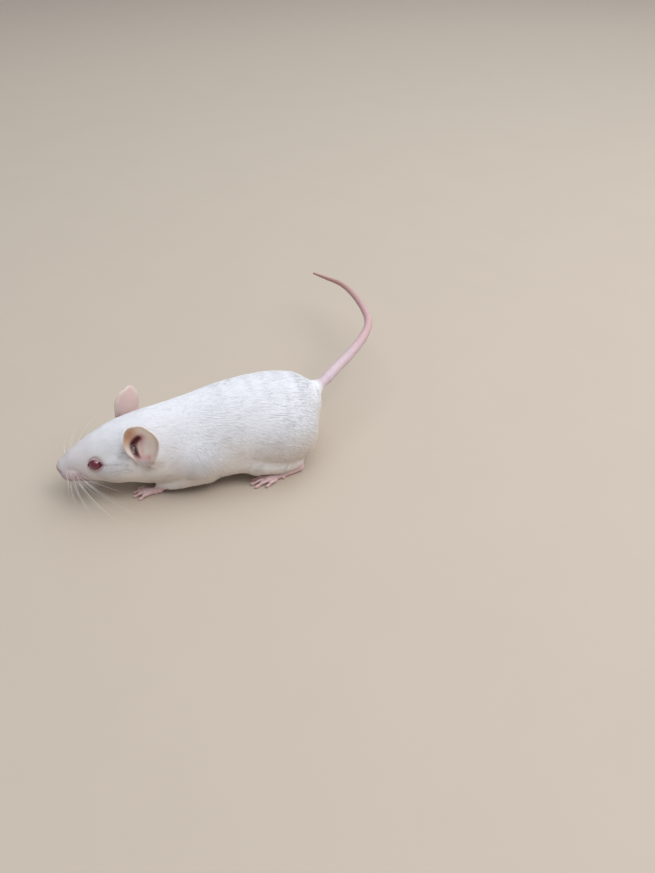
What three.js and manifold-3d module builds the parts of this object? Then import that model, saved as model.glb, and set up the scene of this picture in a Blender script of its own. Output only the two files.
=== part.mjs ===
// A white pet mouse at life size, as a still museum model. It crouches on the flat soles of its four
// feet with its head stretched forward, and carries its tail in a wide curve behind it.
// Millimetres, +Z up, the floor at z = 0. The mouse faces -X, so its left side is towards -Y.
// Lengths called x are distances behind the tip of the muzzle, and y is the distance from the middle.

import * as THREE from 'three';
import { mergeVertices } from 'three/addons/utils/BufferGeometryUtils.js';
import Module from 'manifold-3d';

const wasm = await Module();
wasm.setup();

// ---- Driving dimensions ----

const cutGap = 0.3; // what is left between two neighbouring pieces
const headEnd = 28; // x of the cut behind the ears
const neckEnd = 36; // x of the cut in front of the shoulders
const bodyEnd = 87; // x where the tail leaves the rump
const noseRound = 3.4; // how far back the rounding of the muzzle tip reaches
const rumpRound = 11; // how far forward the rounding of the rump reaches
const finest = 0.1; // detail smaller than this is dropped from a finished piece

// The body's outline over the coat: the heights of the back and the belly, half the width, the share
// of the height at which it is widest, and how much wider it is low down than high up.
const sections = [
  { name: 'muzzle tip', x: 0, back: 14.3, belly: 9.4, half: 2.0, widest: 0.5, sag: -0.1 },
  { name: 'lips', x: 3, back: 16.7, belly: 7.6, half: 3.4, widest: 0.46, sag: -0.2 },
  { name: 'whisker pads', x: 6.5, back: 19.0, belly: 5.9, half: 5.2, widest: 0.44, sag: -0.1 },
  { name: 'eyes', x: 11, back: 21.7, belly: 5.0, half: 7.0, widest: 0.42, sag: 0.03 },
  { name: 'cheeks', x: 18, back: 24.6, belly: 3.8, half: 9.6, widest: 0.42, sag: 0.06 },
  { name: 'ears', x: 25, back: 26.2, belly: 1.9, half: 11.7, widest: 0.43, sag: 0.1 },
  { name: 'neck', x: 32, back: 26.8, belly: 1.5, half: 13.2, widest: 0.43, sag: 0.1 },
  { name: 'shoulders', x: 41, back: 27.9, belly: 1.3, half: 14.7, widest: 0.43, sag: 0.1 },
  { name: 'ribs', x: 52, back: 30.0, belly: 1.2, half: 15.6, widest: 0.43, sag: 0.08 },
  { name: 'loins', x: 63, back: 31.1, belly: 1.2, half: 16.0, widest: 0.43, sag: 0.08 },
  { name: 'hips', x: 71, back: 30.8, belly: 1.4, half: 15.6, widest: 0.44, sag: 0.08 },
  { name: 'rump', x: 79, back: 29.0, belly: 2.4, half: 13.4, widest: 0.5, sag: 0.06 },
  { name: 'tail root', x: 87, back: 26.2, belly: 9.0, half: 8.0, widest: 0.6, sag: 0 },
];

const nose = { x: 1.3, z: 12.3, half: [2.3, 1.9, 1.8] };
const whiskerPad = { x: 3.9, y: 2.6, z: 10.4, half: [3.8, 2.4, 2.8] };
const chin = { x: 7.8, z: 7.1, half: [5.0, 3.8, 2.6] };
const cheek = { middle: [17.5, 6.6, 12.0], half: [5.4, 3.4, 4.8] };
const eye = { x: 11.25, y: 5.35, z: 14.85, radius: 2.05 };

// The ear is a round, shallow cup on a rolled root. The left one is turned out to the side, and the
// right one stands upright and faces further forward.
const ear = {
  length: 13.2,
  halfWidth: 5.6,
  rootHalfWidth: 2.4,
  widestAt: 0.5, // share of the length
  thickness: 0.8,
  rootRoll: 75, // half the angle that the root is rolled through, in degrees
  topRoll: 38,
  hollow: 0.9, // how far the middle of the cup lies behind its rim's line
  spoon: 1.45, // how far the top turns out
  // Where each ear stands, the way from its root to its top, and the way its cup opens. Both are
  // written for the right side.
  left: { root: [26, 9.8, 16.6], lean: [0.12, -0.05, 0.97], face: [-0.4, 0.85, 0.3] },
  right: { root: [25, 9.5, 16.6], lean: [0, 0, 1], face: [-0.7, 0.7, 0.2] },
};

const flank = { middle: [55, 8.6, 7.7], half: [9.5, 6.4, 4.6] };
const upperArm = { middle: [43, 9.8, 10.8], half: [7.4, 6.4, 8.0], tilt: -28 };
const forearm = { path: [[43.5, 11, 7], [36.5, 10.8, 5], [28.4, 9, 2.4]], radii: [3.9, 3, 1.5] };
const thigh = { middle: [69.5, 9.2, 12.6], half: [12.4, 8.3, 11.2], tilt: 16 };
const shank = { path: [[60, 13, 6.4], [67.5, 14, 4.9], [74.8, 13.6, 2.6]], radii: [3.8, 3.3, 1.8] };

// Each digit runs from its knuckle to the tip of its claw.
const foreFoot = {
  heel: [28.4, 8.8], ball: [23.8, 8.2], halfWidth: 1.7, height: 2.3,
  digits: [
    { from: [24.6, 7.0], to: [21.4, 5.3] },
    { from: [23.8, 7.7], to: [19.6, 6.8] },
    { from: [23.8, 8.6], to: [19.4, 8.7] },
    { from: [24.6, 9.4], to: [21.0, 10.7] },
  ],
  digitRadius: 0.55,
};
const hindFoot = {
  heel: [75, 13.8], ball: [63.4, 15.3], halfWidth: 1.8, height: 2.6,
  digits: [
    { from: [65.4, 14.0], to: [61.8, 12.6] },
    { from: [63.8, 14.4], to: [57.8, 13.7] },
    { from: [63.2, 15.3], to: [56.8, 15.6] },
    { from: [63.6, 16.2], to: [57.8, 17.5] },
    { from: [65.4, 16.8], to: [61.4, 18.5] },
  ],
  digitRadius: 0.6,
};

const tail = {
  path: [
    [81, -0.6, 20], [87.6, 2.7, 21.4], [96, 9.3, 22.4], [104, 16, 22.8], [112.4, 24.8, 23.1],
    [117.2, 32.8, 23.3], [119.2, 44, 23.2], [119.2, 57.4, 22.9], [118, 67, 22],
    [115.4, 75.5, 20.5], [113.2, 82.5, 19.2], [111.9, 86.2, 18.6],
  ],
  radii: [2.2, 2, 1.85, 1.75, 1.6, 1.5, 1.35, 1.15, 0.95, 0.75, 0.55, 0.4],
  cuts: [0.34, 0.67], // where it is divided, as shares of its length
};

// ---- Curves and solids ----

const vector = (p) => new THREE.Vector3(...p);
const radians = THREE.MathUtils.degToRad;

// A smooth curve through [x, value] points, read at any x.
function smoothThrough(points) {
  const slope = points.map((_, i) => {
    const [xa, va] = points[Math.max(i - 1, 0)];
    const [xb, vb] = points[Math.min(i + 1, points.length - 1)];
    return (vb - va) / (xb - xa);
  });
  return (x) => {
    const next = points.findIndex(([px]) => px > x);
    const i = next < 0 ? points.length - 2 : Math.max(next - 1, 0);
    const [xa, va] = points[i];
    const [xb, vb] = points[i + 1];
    const span = xb - xa;
    const t = (x - xa) / span;
    const rise = (3 - 2 * t) * t * t;
    return va + (vb - va) * rise + span * t * (1 - t) * (slope[i] * (1 - t) - slope[i + 1] * t);
  };
}

// A closed surface through rings of points, each end closed by a fan round its middle.
function loft(rings) {
  const around = rings[0].length;
  const middle = (ring) =>
    ring.reduce((sum, p) => sum.add(p), new THREE.Vector3()).divideScalar(around);
  const points = [...rings.flat(), middle(rings[0]), middle(rings[rings.length - 1])];
  const faces = [];
  for (let i = 0; i < rings.length - 1; i++)
    for (let j = 0; j < around; j++) {
      const a = i * around + j;
      const b = i * around + ((j + 1) % around);
      faces.push(a, b, b + around, a, b + around, a + around);
    }
  const start = rings.length * around;
  const last = (rings.length - 1) * around;
  for (let j = 0; j < around; j++) {
    const k = (j + 1) % around;
    faces.push(start, k, j, start + 1, last + j, last + k);
  }
  return new THREE.BufferGeometry().setFromPoints(points).setIndex(faces);
}

// A round limb along a smooth path, with a radius at each of the path's points and domed ends.
function limb({ path, radii }, { grow = 0, steps = 6, sides = 9, dome = [70, 35] } = {}) {
  const curve = new THREE.CatmullRomCurve3(path.map(vector));
  const { tangents, normals, binormals } = curve.computeFrenetFrames(steps);
  const radiusAt = smoothThrough(radii.map((r, i) => [i / (radii.length - 1), r + grow]));
  const rings = [];
  const ring = (i, middle, radius) =>
    rings.push(Array.from({ length: sides }, (_, j) => {
      const angle = (2 * Math.PI * j) / sides;
      return middle.clone()
        .addScaledVector(normals[i], radius * Math.cos(angle))
        .addScaledVector(binormals[i], radius * Math.sin(angle));
    }));
  const cap = (i, angles) => {
    const radius = radiusAt(i / steps);
    for (const angle of angles.map(radians)) {
      const middle = curve.getPointAt(i / steps);
      ring(i, middle.addScaledVector(tangents[i], radius * Math.sin(angle)),
        radius * Math.cos(angle));
    }
  };
  cap(0, dome.map((angle) => -angle));
  for (let i = 0; i <= steps; i++) {
    const u = curve.getUtoTmapping(i / steps);
    ring(i, curve.getPoint(u), radiusAt(u));
  }
  cap(steps, [...dome].reverse());
  return solidOf(loft(rings));
}

function ellipsoid(middle, half, { tilt = 0, grow = 0, sides = 14 } = {}) {
  const [hx, hy, hz] = half.map((h) => h + grow);
  return solidOf(new THREE.SphereGeometry(1, sides, Math.round(sides * 0.65))
    .scale(hx, hy, hz).rotateY(radians(tilt)).translate(...middle));
}

function solidOf(geometry) {
  const bare = geometry.clone();
  bare.deleteAttribute('normal');
  bare.deleteAttribute('uv');
  const merged = mergeVertices(bare, 1e-4);
  return new wasm.Manifold(
    new wasm.Mesh({
      numProp: 3,
      vertProperties: merged.attributes.position.array,
      triVerts: new Uint32Array(merged.index.array),
    }),
  );
}

function geometryOf(solid) {
  const { vertProperties, triVerts } = solid.simplify(finest).getMesh();
  const geometry = new THREE.BufferGeometry();
  geometry.setAttribute('position', new THREE.BufferAttribute(vertProperties, 3));
  geometry.setIndex(new THREE.BufferAttribute(triVerts, 1));
  return geometry;
}

const mirrored = (solid) => solid.mirror([0, 1, 0]);
const both = (solid) => solid.add(mirrored(solid));

// ---- Head, neck and trunk ----

const sizeAt = {};
for (const key of ['back', 'belly', 'half', 'widest', 'sag'])
  sizeAt[key] = smoothThrough(sections.map((s) => [s.x, s[key]]));

// One ring of the body at x, made larger all round by grow.
function bodyRing(x, grow, sides) {
  const toNose = 1 - Math.min(x / noseRound, 1);
  const toRump = 1 - Math.min((bodyEnd - x) / rumpRound, 1);
  const round = Math.sqrt(1 - toNose ** 2) * (0.25 + 0.75 * Math.sqrt(1 - toRump ** 2));
  const back = sizeAt.back(x);
  const belly = sizeAt.belly(x);
  const level = belly + (back - belly) * sizeAt.widest(x);
  return Array.from({ length: sides }, (_, j) => {
    const angle = (2 * Math.PI * j) / sides;
    const up = Math.sin(angle);
    const reach = up > 0 ? back - level : level - belly;
    const wide = sizeAt.half(x) * round * (1 - sizeAt.sag(x) * up) + grow;
    return new THREE.Vector3(x, wide * Math.cos(angle), level + (reach * round + grow) * up);
  });
}

function bodyLoft(from, to, steps, { grow = 0, sides = 24 } = {}) {
  const rings = [];
  for (let i = 0; i <= steps; i++) {
    // The rings stand closer together where the muzzle and the rump round off.
    let share = i / steps;
    if (from === 0) share = share ** 1.5;
    if (to === bodyEnd) share = 1 - (1 - share) ** 1.5;
    rings.push(bodyRing(Math.max(from + (to - from) * share, 0.04), grow, sides));
  }
  return solidOf(loft(rings));
}

// ---- Legs and feet ----

const hindLeg = (grow) =>
  ellipsoid(thigh.middle, thigh.half, { tilt: thigh.tilt, grow }).add(limb(shank, { grow }));

const foreLeg = (grow) =>
  ellipsoid(upperArm.middle, upperArm.half, { tilt: upperArm.tilt, grow }).add(limb(forearm, { grow }));

// A foot is a low pad with its digits, cut off flat at the floor.
function foot({ heel, ball, halfWidth, height, digits, digitRadius }) {
  const middle = [(heel[0] + ball[0]) / 2, (heel[1] + ball[1]) / 2, height * 0.42];
  let made = limb({
    path: [[...heel, height * 0.5], middle, [...ball, height * 0.35]],
    radii: [halfWidth * 0.7, halfWidth * 0.8, halfWidth],
  }, { steps: 3, sides: 8 });
  for (const { from, to } of digits) {
    const knuckle = [(from[0] + to[0]) / 2, (from[1] + to[1]) / 2, digitRadius * 1.9];
    made = made.add(limb({
      path: [[...from, digitRadius * 1.5], knuckle, [...to, digitRadius * 0.7]],
      radii: [digitRadius, digitRadius * 1.05, digitRadius * 0.7],
    }, { steps: 2, sides: 5, dome: [50] }));
  }
  const below = new THREE.BoxGeometry(60, 60, 10).translate(...ball, -5);
  return made.subtract(solidOf(below));
}

// ---- Ears ----

function earShell({ root, lean, face: facing }) {
  const up = vector(lean).normalize();
  const face = vector(facing);
  face.addScaledVector(up, -face.dot(up)).normalize();
  const across = new THREE.Vector3().crossVectors(up, face);
  const { widestAt, halfWidth, rootHalfWidth } = ear;
  // Each row is a share of the length and half the width there.
  const rows = [];
  for (let i = 0; i <= 4; i++) {
    const share = i / 4;
    const wide = rootHalfWidth + (halfWidth - rootHalfWidth) * Math.sin((share * Math.PI) / 2);
    rows.push([widestAt * share, wide]);
  }
  for (const angle of [20, 40, 58, 73, 84].map(radians))
    rows.push([widestAt + (1 - widestAt) * Math.sin(angle), halfWidth * Math.cos(angle)]);
  const columns = 8;
  const at = (t, wide, side) => {
    const open = THREE.MathUtils.smoothstep(t, 0, 0.7);
    const roll = radians(THREE.MathUtils.lerp(ear.rootRoll, ear.topRoll, open));
    const bend = wide / Math.sin(Math.min(roll, Math.PI / 2));
    return vector(root)
      .addScaledVector(up, ear.length * t)
      .addScaledVector(across, bend * Math.sin(side * roll))
      .addScaledVector(face, bend * (1 - Math.cos(side * roll)) - ear.hollow * Math.sin(Math.PI * t)
        + ear.spoon * Math.max(0, (t - widestAt) / (1 - widestAt)) ** 2);
  };
  const grid = rows.map(([t, wide]) =>
    Array.from({ length: columns + 1 }, (_, j) => at(t, wide, (2 * j) / columns - 1)));
  const normalAt = (i, j) => {
    const next = (n, most) => [Math.min(n + 1, most), Math.max(n - 1, 0)];
    const [iUp, iDown] = next(i, grid.length - 1);
    const [jUp, jDown] = next(j, columns);
    const along = grid[iUp][j].clone().sub(grid[iDown][j]);
    return grid[i][jUp].clone().sub(grid[i][jDown]).cross(along).normalize();
  };
  // Each ring runs across a row's front and comes back across its rear.
  return solidOf(loft(grid.map((row, i) => {
    const side = (sign) =>
      row.map((p, j) => p.clone().addScaledVector(normalAt(i, j), (sign * ear.thickness) / 2));
    return [...side(1), ...side(-1).reverse()];
  })));
}

// ---- Tail ----

// A length of the tail between two shares of it, with the gap taken off where it was cut.
function tailLength(from, to, grow = 0) {
  const whole = limb(tail, { grow, steps: 28, sides: 8 });
  const curve = new THREE.CatmullRomCurve3(tail.path.map(vector));
  const cutAt = (share, side) => {
    const normal = curve.getTangentAt(share).multiplyScalar(side);
    const offset = normal.dot(curve.getPointAt(share)) + cutGap / 2;
    return [normal.toArray(), offset];
  };
  let made = whole;
  if (from > 0) made = made.trimByPlane(...cutAt(from, 1));
  if (to < 1) made = made.trimByPlane(...cutAt(to, -1));
  const bodies = made.decompose();
  const near = curve.getPointAt((from + to) / 2);
  const distance = (solid) => {
    const { min, max } = solid.boundingBox();
    return vector(min).add(vector(max)).divideScalar(2).distanceTo(near);
  };
  return bodies.sort((a, b) => distance(a) - distance(b))[0];
}

// ---- The model ----

const coat = { color: '#f3f1ee', roughness: 0.85 };
const bareSkin = { color: '#e6bcb0', roughness: 0.6 };
const mouse = new THREE.Group();

function add(name, solid, look) {
  const mesh = new THREE.Mesh(geometryOf(solid), new THREE.MeshStandardMaterial(look));
  mesh.name = name;
  mouse.add(mesh);
}

function addPair(name, solid, look) {
  add(name + '_right', solid, look);
  add(name + '_left', mirrored(solid), look);
}

const eyeball = (grow) => ellipsoid([eye.x, eye.y, eye.z], [eye.radius, eye.radius, eye.radius],
  { grow });
const nosePad = (grow) => ellipsoid([nose.x, 0, nose.z], nose.half, { grow, sides: 10 });
const pad = ellipsoid([whiskerPad.x, whiskerPad.y, whiskerPad.z], whiskerPad.half, { sides: 12 });
const chinPad = ellipsoid([chin.x, 0, chin.z], chin.half, { sides: 10 });

add('nose', nosePad(0), { color: '#dba39b', roughness: 0.5 });
add('head', bodyLoft(0, headEnd - cutGap / 2, 13).add(both(pad)).add(chinPad)
  .add(both(ellipsoid(cheek.middle, cheek.half, { sides: 12 })))
  .subtract(both(eyeball(cutGap))).subtract(nosePad(cutGap)), coat);
addPair('eye', eyeball(0), { color: '#8c1420', roughness: 0.08 });
const headGrown = bodyLoft(0, headEnd + 8, 16, { grow: cutGap });
add('ear_right', earShell(ear.right).subtract(headGrown), bareSkin);
add('ear_left', mirrored(earShell(ear.left).subtract(headGrown)), bareSkin);

const legsGrown = both(foreLeg(cutGap)).add(both(hindLeg(cutGap)));
add('neck', bodyLoft(headEnd + cutGap / 2, neckEnd - cutGap / 2, 4).subtract(legsGrown), coat);
add('trunk', bodyLoft(neckEnd + cutGap / 2, bodyEnd, 18)
  .add(both(ellipsoid(flank.middle, flank.half, { sides: 12 })))
  .subtract(legsGrown).subtract(limb(tail, { grow: cutGap, steps: 28, sides: 8 })), coat);
addPair('fore_leg', foreLeg(0), coat);
addPair('fore_foot', foot(foreFoot).subtract(foreLeg(cutGap)), bareSkin);
addPair('hind_leg', hindLeg(0), coat);
addPair('hind_foot', foot(hindFoot).subtract(hindLeg(cutGap)), bareSkin);

const [baseEnd, middleEnd] = tail.cuts;
add('tail_base', tailLength(0, baseEnd), bareSkin);
add('tail_middle', tailLength(baseEnd, middleEnd), bareSkin);
add('tail_tip', tailLength(middleEnd, 1), bareSkin);

// The origin is on the floor, under the middle of the whole mouse.
const box = new THREE.Box3().setFromObject(mouse);
const middle = box.getCenter(new THREE.Vector3());
mouse.position.set(-middle.x, -middle.y, -box.min.z);

export default mouse;
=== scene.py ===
import math
import bmesh
import bpy
import numpy as np
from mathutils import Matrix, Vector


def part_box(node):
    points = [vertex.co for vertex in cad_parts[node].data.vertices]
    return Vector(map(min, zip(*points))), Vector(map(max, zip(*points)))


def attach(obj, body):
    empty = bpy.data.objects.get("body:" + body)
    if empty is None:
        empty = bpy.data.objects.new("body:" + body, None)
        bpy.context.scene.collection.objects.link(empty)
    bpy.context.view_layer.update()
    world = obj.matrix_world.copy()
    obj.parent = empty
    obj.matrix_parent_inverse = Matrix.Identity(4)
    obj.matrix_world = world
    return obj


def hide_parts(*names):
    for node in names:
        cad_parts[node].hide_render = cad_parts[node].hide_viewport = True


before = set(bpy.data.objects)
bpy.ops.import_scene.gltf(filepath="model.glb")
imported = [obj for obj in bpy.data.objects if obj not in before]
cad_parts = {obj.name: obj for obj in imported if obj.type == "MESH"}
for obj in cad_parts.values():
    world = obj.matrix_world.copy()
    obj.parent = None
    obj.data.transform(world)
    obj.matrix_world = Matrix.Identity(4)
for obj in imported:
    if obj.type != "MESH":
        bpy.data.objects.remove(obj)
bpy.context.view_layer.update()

import openvdb
from mathutils import Vector
from mathutils.bvhtree import BVHTree

# A white pet mouse at life size. Sizes are in millimetres in the mouse's own frame: x runs back from the
# tip of the muzzle, y from the middle (its left side is towards -y) and z up from the floor. Both sides
# are alike, so a place is written for the +y side. toWorld() gives the frame's metres.
millimetre = 0.001
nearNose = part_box("nose")[0][0] + 1.0 * millimetre
middleLine = (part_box("head")[0][1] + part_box("head")[1][1]) / 2
origin = np.array([nearNose, middleLine, 0.0])


def toWorld(points):
    return np.asarray(points, float) * millimetre + origin


def unit(v):
    v = np.asarray(v, float)
    return v / np.maximum(np.linalg.norm(v, axis=-1, keepdims=True), 1e-9)


def smoothStep(low, high, value):
    t = np.clip((value - low) / (high - low), 0, 1)
    return t * t * (3 - 2 * t)


def mix(a, b, share):
    return a + (b - a) * share


# The camera.
view = {"eye": (31.8, -169.2, 156.2), "pitchDown": 41.21, "yaw": 18.81, "focal": 656, "high": 873,
        "sensor": 36.0}

cameraData = bpy.data.cameras.new("camera")
cameraData.sensor_fit = "VERTICAL"
cameraData.sensor_height = view["sensor"]
cameraData.lens = view["sensor"] * view["focal"] / view["high"]
cameraData.clip_start = 0.005
camera = bpy.data.objects.new("camera", cameraData)
camera.location = toWorld(view["eye"])
camera.rotation_euler = (math.radians(90 - view["pitchDown"]), 0, math.radians(-view["yaw"]))
bpy.context.scene.collection.objects.link(camera)
bpy.context.scene.camera = camera
print("camera placed")

# Curves and fields. A field is negative inside a form and grows outwards.


def smoothThrough(table):
    # a smooth curve through (x, value) pairs, read at any x
    xs, vs = (np.array(column, float) for column in zip(*table))
    before, after = np.r_[0, np.arange(len(xs) - 1)], np.r_[np.arange(1, len(xs)), len(xs) - 1]
    slope = (vs[after] - vs[before]) / (xs[after] - xs[before])
    fine = np.linspace(xs[0], xs[-1], 1500)
    i = np.clip(np.searchsorted(xs, fine, side="right") - 1, 0, len(xs) - 2)
    span = xs[i + 1] - xs[i]
    t = (fine - xs[i]) / span
    values = mix(vs[i], vs[i + 1], (3 - 2 * t) * t * t)
    values += span * t * (1 - t) * (slope[i] * (1 - t) - slope[i + 1] * t)
    return lambda x: np.interp(x, fine, values)


def smoothPath(points, steps=12):
    # a centripetal Catmull-Rom curve through the points, with its own share at each point of it
    p = np.array(points, float)
    p = np.vstack([2 * p[0] - p[1], p, 2 * p[-1] - p[-2]])
    made = []
    for i in range(1, len(p) - 2):
        a, b, c, d = p[i - 1 : i + 3]
        ta, tb, tc = (np.sqrt(np.linalg.norm(v)) for v in (b - a, c - b, d - c))
        start = ((b - a) / ta - (c - a) / (ta + tb) + (c - b) / tb) * tb
        end = ((c - b) / tb - (d - b) / (tb + tc) + (d - c) / tc) * tb
        t = np.linspace(0, 1, steps, endpoint=False)[:, None]
        made.append((2 * t**3 - 3 * t**2 + 1) * b + (t**3 - 2 * t**2 + t) * start
                    + (3 * t**2 - 2 * t**3) * c + (t**3 - t**2) * end)
    return np.vstack(made + [p[-2:-1]])


def alongOf(path):
    return np.r_[0, np.cumsum(np.linalg.norm(np.diff(path, axis=0), axis=1))]


def nearPath(p, path, radii=None):
    # distance of each point from a path, less the path's radius there, and how far along it is nearest
    along = alongOf(path)
    radii = np.zeros(len(path)) if radii is None else radii
    best, where = np.full(len(p), 1e9), np.zeros(len(p))
    for i in range(len(path) - 1):
        step = path[i + 1] - path[i]
        t = np.clip((p - path[i]) @ step / (step @ step), 0, 1)
        away = np.linalg.norm(p - path[i] - t[:, None] * step, axis=1) - mix(radii[i], radii[i + 1], t)
        closer = away < best
        best = np.where(closer, away, best)
        where = np.where(closer, mix(along[i], along[i + 1], t), where)
    return best, where


def limbField(p, limb, steps=4):
    path = smoothPath(limb["path"], steps)
    radii = np.interp(np.linspace(0, 1, len(path)), np.linspace(0, 1, len(limb["radii"])), limb["radii"])
    return nearPath(p, path, radii)[0]


def ellipsoidField(p, middle, half, tilt=0.0):
    q = p - np.array(middle)
    c, s = math.cos(math.radians(tilt)), math.sin(math.radians(tilt))
    q = np.stack([q[:, 0] * c - q[:, 2] * s, q[:, 1], q[:, 0] * s + q[:, 2] * c], 1)
    half = np.array(half)
    near = np.linalg.norm(q / half, axis=1)
    return near * (near - 1) / np.maximum(np.linalg.norm(q / half**2, axis=1), 1e-6)


def smoothMin(a, b, blend):
    h = np.clip(0.5 + 0.5 * (b - a) / blend, 0, 1)
    return mix(b, a, h) - blend * h * (1 - h)


def smoothMax(a, b, blend):
    return -smoothMin(-a, -b, blend)


def slopeOf(field, p, step=0.04):
    return np.stack([(field(p + step * axis) - field(p - step * axis)) / (2 * step) for axis in np.eye(3)], 1)


def evened(field, p):
    # a field's value as a distance, near its surface
    return field(p) / np.maximum(np.linalg.norm(slopeOf(field, p), axis=1), 1e-3)


def settled(field, p, times=3):
    # points moved onto a field's surface
    for _ in range(times):
        slope = slopeOf(field, p)
        p = p - slope * (field(p) / np.maximum((slope**2).sum(1), 1e-2))[:, None]
    return p


def surfaceOf(field, low, high, step):
    axes = [np.arange(a, b + step, step) for a, b in zip(low, high)]
    grid = np.stack(np.meshgrid(*axes, indexing="ij"), -1).reshape(-1, 3)
    values = field(grid).reshape([len(a) for a in axes])
    volume = openvdb.FloatGrid(background=10.0)
    volume.copyFromArray(values.astype(np.float32))
    points, quads = volume.convertToQuads(0.0)
    return points * step + np.array(low), quads


# The body under the coat.
# x: height of the back, of the belly, half the width, share of the height where it is widest, and how
# much wider it is low down. They are the coat's outline, and the skin lies deeper by the coat's depth.
outline = {
    0: (14.3, 9.4, 2.0, 0.5, -0.1), 3: (16.7, 7.6, 3.4, 0.46, -0.2), 6.5: (19.0, 5.9, 5.2, 0.44, -0.1),
    11: (21.7, 5.0, 7.0, 0.42, 0.03), 18: (24.6, 3.8, 9.6, 0.42, 0.06), 25: (26.2, 1.9, 11.7, 0.43, 0.1),
    32: (26.8, 1.5, 13.2, 0.43, 0.1), 41: (27.9, 1.3, 14.7, 0.43, 0.1), 52: (30.0, 1.2, 15.6, 0.43, 0.08),
    63: (31.1, 1.2, 16.0, 0.43, 0.08), 71: (30.8, 1.4, 15.6, 0.44, 0.08), 79: (29.0, 2.4, 13.4, 0.5, 0.06),
    87: (26.2, 9.0, 8.0, 0.6, 0.0),
}
body = {
    "noseRound": 3.4, "noseFade": 0.8, "rumpRound": 11, "rumpShare": 0.25, "end": 87,
    "coatDepth": [(0, 0.1), (3, 0.14), (8, 0.2), (16, 0.3), (26, 0.4), (36, 0.5), (48, 0.6), (82, 0.6),
                  (87, 0.4)],
    "legCoat": 0.35, "faceCoat": 0.2, "tailCoat": 0.12, "floorGap": 0.12,
    "upperArm": ((43, 9.8, 10.8), (7.4, 6.4, 8.0), -28), "thigh": ((69.5, 9.2, 12.6), (12.4, 8.3, 11.2), 16),
    "flank": ((55, 8.6, 7.7), (9.5, 6.4, 4.6)),
    "forearm": {"path": [(43.5, 11.0, 7.0), (36.5, 10.8, 5.0), (28.4, 9, 2.4)], "radii": [3.9, 3, 1.5]},
    "shank": {"path": [(60, 13, 6.4), (67.5, 14, 4.9), (74.8, 13.6, 2.6)], "radii": [3.8, 3.3, 1.8]},
    "whiskerPad": ((3.9, 2.6, 10.4), (3.8, 2.35, 2.7)), "nose": ((1.6, 0, 12.0), (2.4, 2.0, 2.0)),
    "chin": ((7.8, 0, 7.1), (5.0, 3.8, 2.6)), "cheek": ((17.5, 6.6, 12.0), (5.4, 3.1, 4.5)),
    # how widely each form blends into the rest
    "blend": {"thigh": 4.5, "upperArm": 4.0, "flank": 4.0, "shank": 2.4, "forearm": 2.4, "cheek": 3.0,
              "whiskerPad": 0.9, "chin": 1.0, "nose": 2.8, "earMound": 2.5, "earBowl": 0.5, "tail": 3.5,
              "rump": 2.5, "floor": 0.5},
    "step": 0.6, "low": (-2, -19, -0.6), "high": (93, 19, 32.4),
}
tail = {
    "path": [(81, -0.6, 20), (87.6, 2.7, 21.4), (96, 9.3, 22.4), (104, 16, 22.8), (112.4, 24.8, 23.1),
             (117.2, 32.8, 23.3), (119.2, 44, 23.2), (119.2, 57.4, 22.9), (118, 67, 22), (115.4, 75.5, 20.5),
             (113.2, 82.5, 19.2), (111.9, 86.2, 18.6)],
    "radii": [2.2, 2, 1.85, 1.75, 1.6, 1.5, 1.35, 1.15, 0.95, 0.75, 0.55, 0.4],
    "sides": 20, "steps": 17, "rootLength": 11, "tipRound": 1.2, "furRoot": 5.0, "ring": 0.55,
}
ear = {
    "length": 13.2, "halfWidth": 5.6, "rootHalfWidth": 2.4, "widestAt": 0.5, "rootRoll": 75, "topRoll": 38,
    "hollow": 0.9, "roundness": 2.25, "spoon": {"left": 1.45, "right": 0.6}, "thick": (0.95, 0.5), "rows": 50,
    "columns": 50, "rimAt": 0.93,
    "left": {"root": (26, 9.8, 16.6), "lean": (0.12, -0.05, 0.97), "face": (-0.4, 0.85, 0.3)},
    "right": {"root": (25, 9.5, 16.6), "lean": (0, 0, 1), "face": (-0.7, 0.7, 0.2)},
    # the hollow in front of the ear's foot: its middle and half sizes across, out of and up the ear
    "bowl": ((0.5, 2.8, 3.7), (3.7, 2.9, 3.9)), "moundAt": (-0.4, -0.8, 0.6), "moundHalf": (3.1, 2.1, 2.5),
    # ways over the inside of the cup, as shares up it and across it
    "slit": [(0.56, 0.28), (0.46, 0.46), (0.37, 0.57), (0.27, 0.57), (0.15, 0.55), (0.04, 0.52)],
    "slitDepth": [0.2, 0.5, 0.8, 0.9, 0.9, 0.6], "slitWidth": 0.62, "slitRear": 0.25,
    "ridge": [(0.62, 0.12), (0.48, 0.2), (0.33, 0.26), (0.18, 0.28), (0.05, 0.15), (0.02, -0.15),
              (0.1, -0.5)],
    "ridgeHeight": [0.1, 0.5, 0.8, 0.9, 0.8, 0.6, 0.2], "ridgeWidth": 0.55,
    "curl": 0.35,
}
eye = {"middle": (11.25, 5.35, 14.85), "radius": 2.05, "look": (-0.28, 0.86, 0.42), "lidHalf": 2.4,
       "upperLid": 1.5, "lowerLid": 1.45}

shape = [smoothThrough([(x, values[i]) for x, values in outline.items()]) for i in range(5)]
coatDepth = smoothThrough(body["coatDepth"])
tailPath = smoothPath(tail["path"], tail["steps"])
tailAlong = alongOf(tailPath)
tailRadii = np.interp(np.linspace(0, 1, len(tailPath)), np.linspace(0, 1, len(tail["radii"])), tail["radii"])


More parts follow.
